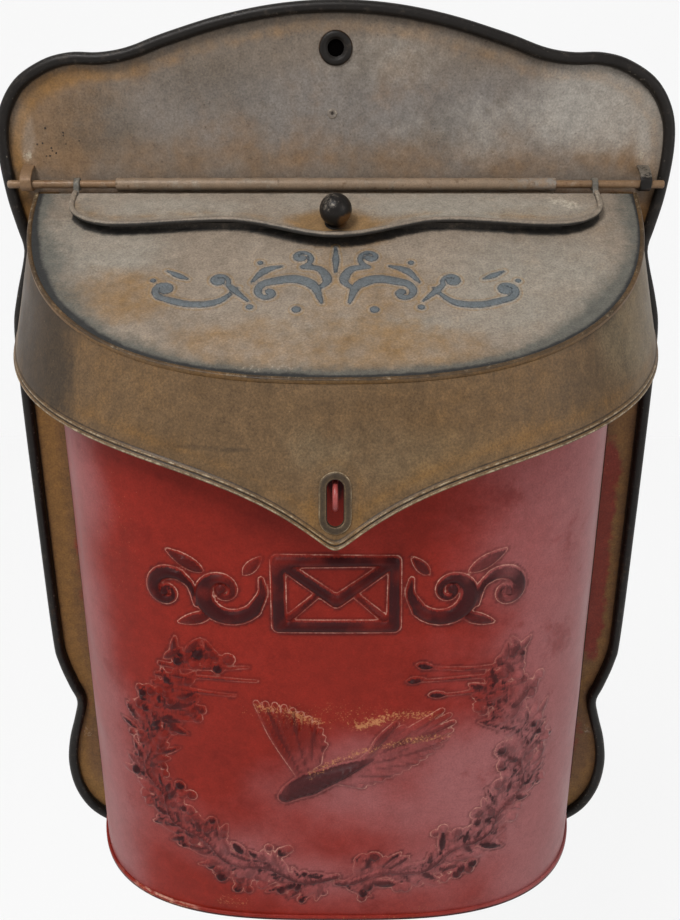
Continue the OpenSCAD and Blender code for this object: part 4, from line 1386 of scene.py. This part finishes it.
class LETTERBOX_OT_stage(bpy.types.Operator):
    """Pale floor and backdrop, soft lamps and the camera"""

    bl_idname = "letterbox.stage"
    bl_label = "Stage"

    def paper(self):
        """White paper that shows as plain white and still takes soft shadows."""
        material = bpy.data.materials.new("white_backdrop_paper")
        material.use_nodes = True
        tree = material.node_tree
        tree.nodes.clear()

        def maths(kind, *values):
            return node(tree, "ShaderNodeMath", dict(enumerate(values)), operation=kind).outputs[0]

        path = node(tree, "ShaderNodeLightPath").outputs
        seen = maths("MAXIMUM", path["Is Camera Ray"], path["Is Glossy Ray"])
        seen = maths("MAXIMUM", seen, path["Is Transmission Ray"])
        paper = node(tree, "ShaderNodeBsdfDiffuse", {"Color": (0.86, 0.86, 0.86, 1)}).outputs[0]
        shine = node(tree, "ShaderNodeEmission", {"Color": (1, 1, 1, 1), "Strength": 1.0}).outputs[0]
        mix = node(tree, "ShaderNodeMixShader", {0: maths("MULTIPLY", seen, 0.85), 1: paper, 2: shine})
        node(tree, "ShaderNodeOutputMaterial", {"Surface": mix.outputs[0]})
        return material

    def hole(self):
        """Near-black material of the disc behind the hanging hole: painted shade seen through it."""
        material = bpy.data.materials.new("hole_shade_black")
        material.use_nodes = True
        inputs = material.node_tree.nodes["Principled BSDF"].inputs
        inputs["Base Color"].default_value = rgb("#050404")
        inputs["Specular IOR Level"].default_value = 0.0
        return material

    def execute(self, context):
        scene = context.scene
        scene.view_settings.view_transform = "Standard"
        paper = self.paper()
        # Near-black disc just behind the hanging hole, as painted shade seen through it
        shade_disc = lathe([(0.01, -0.05), (4.0, -0.05), (4.0, -0.35), (0.01, -0.35)], on_plate(), 40)
        for name, points, faces, material in (
            ("floor", [(-4, -4, -0.75), (4, -4, -0.75), (4, 3, -0.75), (-4, 3, -0.75)],
             [(0, 1, 2, 3)], paper),
            ("backdrop", [(-4, 1.4, -0.75), (4, 1.4, -0.75), (4, 1.4, 3), (-4, 1.4, 3)],
             [(0, 1, 2, 3)], paper),
            ("hole_shade_disc", (shade_disc[0] * MM).tolist(), shade_disc[1], self.hole()),
        ):
            mesh = bpy.data.meshes.new(name)
            mesh.from_pydata(points, [], faces)
            mesh.materials.append(material)
            obj = bpy.data.objects.new(name, mesh)
            scene.collection.objects.link(obj)

        world = bpy.data.worlds.new("soft_room")
        scene.world = world
        world.use_nodes = True
        world.node_tree.nodes["Background"].inputs["Color"].default_value = (1, 1, 1, 1)
        world.node_tree.nodes["Background"].inputs["Strength"].default_value = 0.42
        aim = Vector((0, -0.03, -0.2))
        for name, where, size, power in (
            ("key_lamp", (-0.45, -0.85, 1.0), 0.5, 14.0),
            ("fill_lamp", (1.1, -0.9, 0.25), 0.8, 4.0),
            ("left_lamp", (-1.2, -0.5, 0.1), 0.9, 1.8),
        ):
            lamp = bpy.data.lights.new(name, "AREA")
            lamp.size, lamp.energy = size, power
            obj = bpy.data.objects.new(name, lamp)
            obj.location = where
            obj.rotation_euler = (aim - Vector(where)).to_track_quat("-Z", "Y").to_euler()
            scene.collection.objects.link(obj)
        lens = bpy.data.cameras.new("camera")
        lens.lens = 42.2
        lens.clip_start = 0.01
        camera = bpy.data.objects.new("camera", lens)
        camera.location = (0.0018, -0.488, 0.022)
        camera.rotation_euler = (math.radians(90 - 23.5), 0, 0)
        scene.collection.objects.link(camera)
        scene.camera = camera
        return {"FINISHED"}


class LETTERBOX_PT_panel(bpy.types.Panel):
    """Lists the letter box's builders"""

    bl_idname = "LETTERBOX_PT_panel"
    bl_label = "Letter Box"
    bl_space_type = "VIEW_3D"
    bl_region_type = "UI"
    bl_category = "Letter Box"

    def draw(self, context):
        column = self.layout.column(align=True)
        for group in (context.scene.letterbox_sizes, context.scene.letterbox_colours):
            for key in group.__annotations__:
                column.prop(group, key)
        for maker in MAKERS:
            column.operator(maker.bl_idname)


MAKERS = (
    LETTERBOX_OT_finishes,
    LETTERBOX_OT_stage,
    LETTERBOX_OT_plate,
    LETTERBOX_OT_hardware,
    LETTERBOX_OT_body,
    LETTERBOX_OT_apron,
    LETTERBOX_OT_lid,
    LETTERBOX_OT_flap,
    LETTERBOX_OT_carried,
)
CLASSES = (LetterBoxSizes, LetterBoxColours) + MAKERS + (LETTERBOX_PT_panel,)


def register():
    for cls in CLASSES:
        bpy.utils.register_class(cls)
    bpy.types.Scene.letterbox_sizes = bpy.props.PointerProperty(type=LetterBoxSizes)
    bpy.types.Scene.letterbox_colours = bpy.props.PointerProperty(type=LetterBoxColours)


def unregister():
    del bpy.types.Scene.letterbox_colours
    del bpy.types.Scene.letterbox_sizes
    for cls in reversed(CLASSES):
        bpy.utils.unregister_class(cls)


def main():
    register()
    for maker in MAKERS:
        getattr(bpy.ops.letterbox, maker.bl_idname.split(".")[1])()


if __name__ == "__main__":
    main()
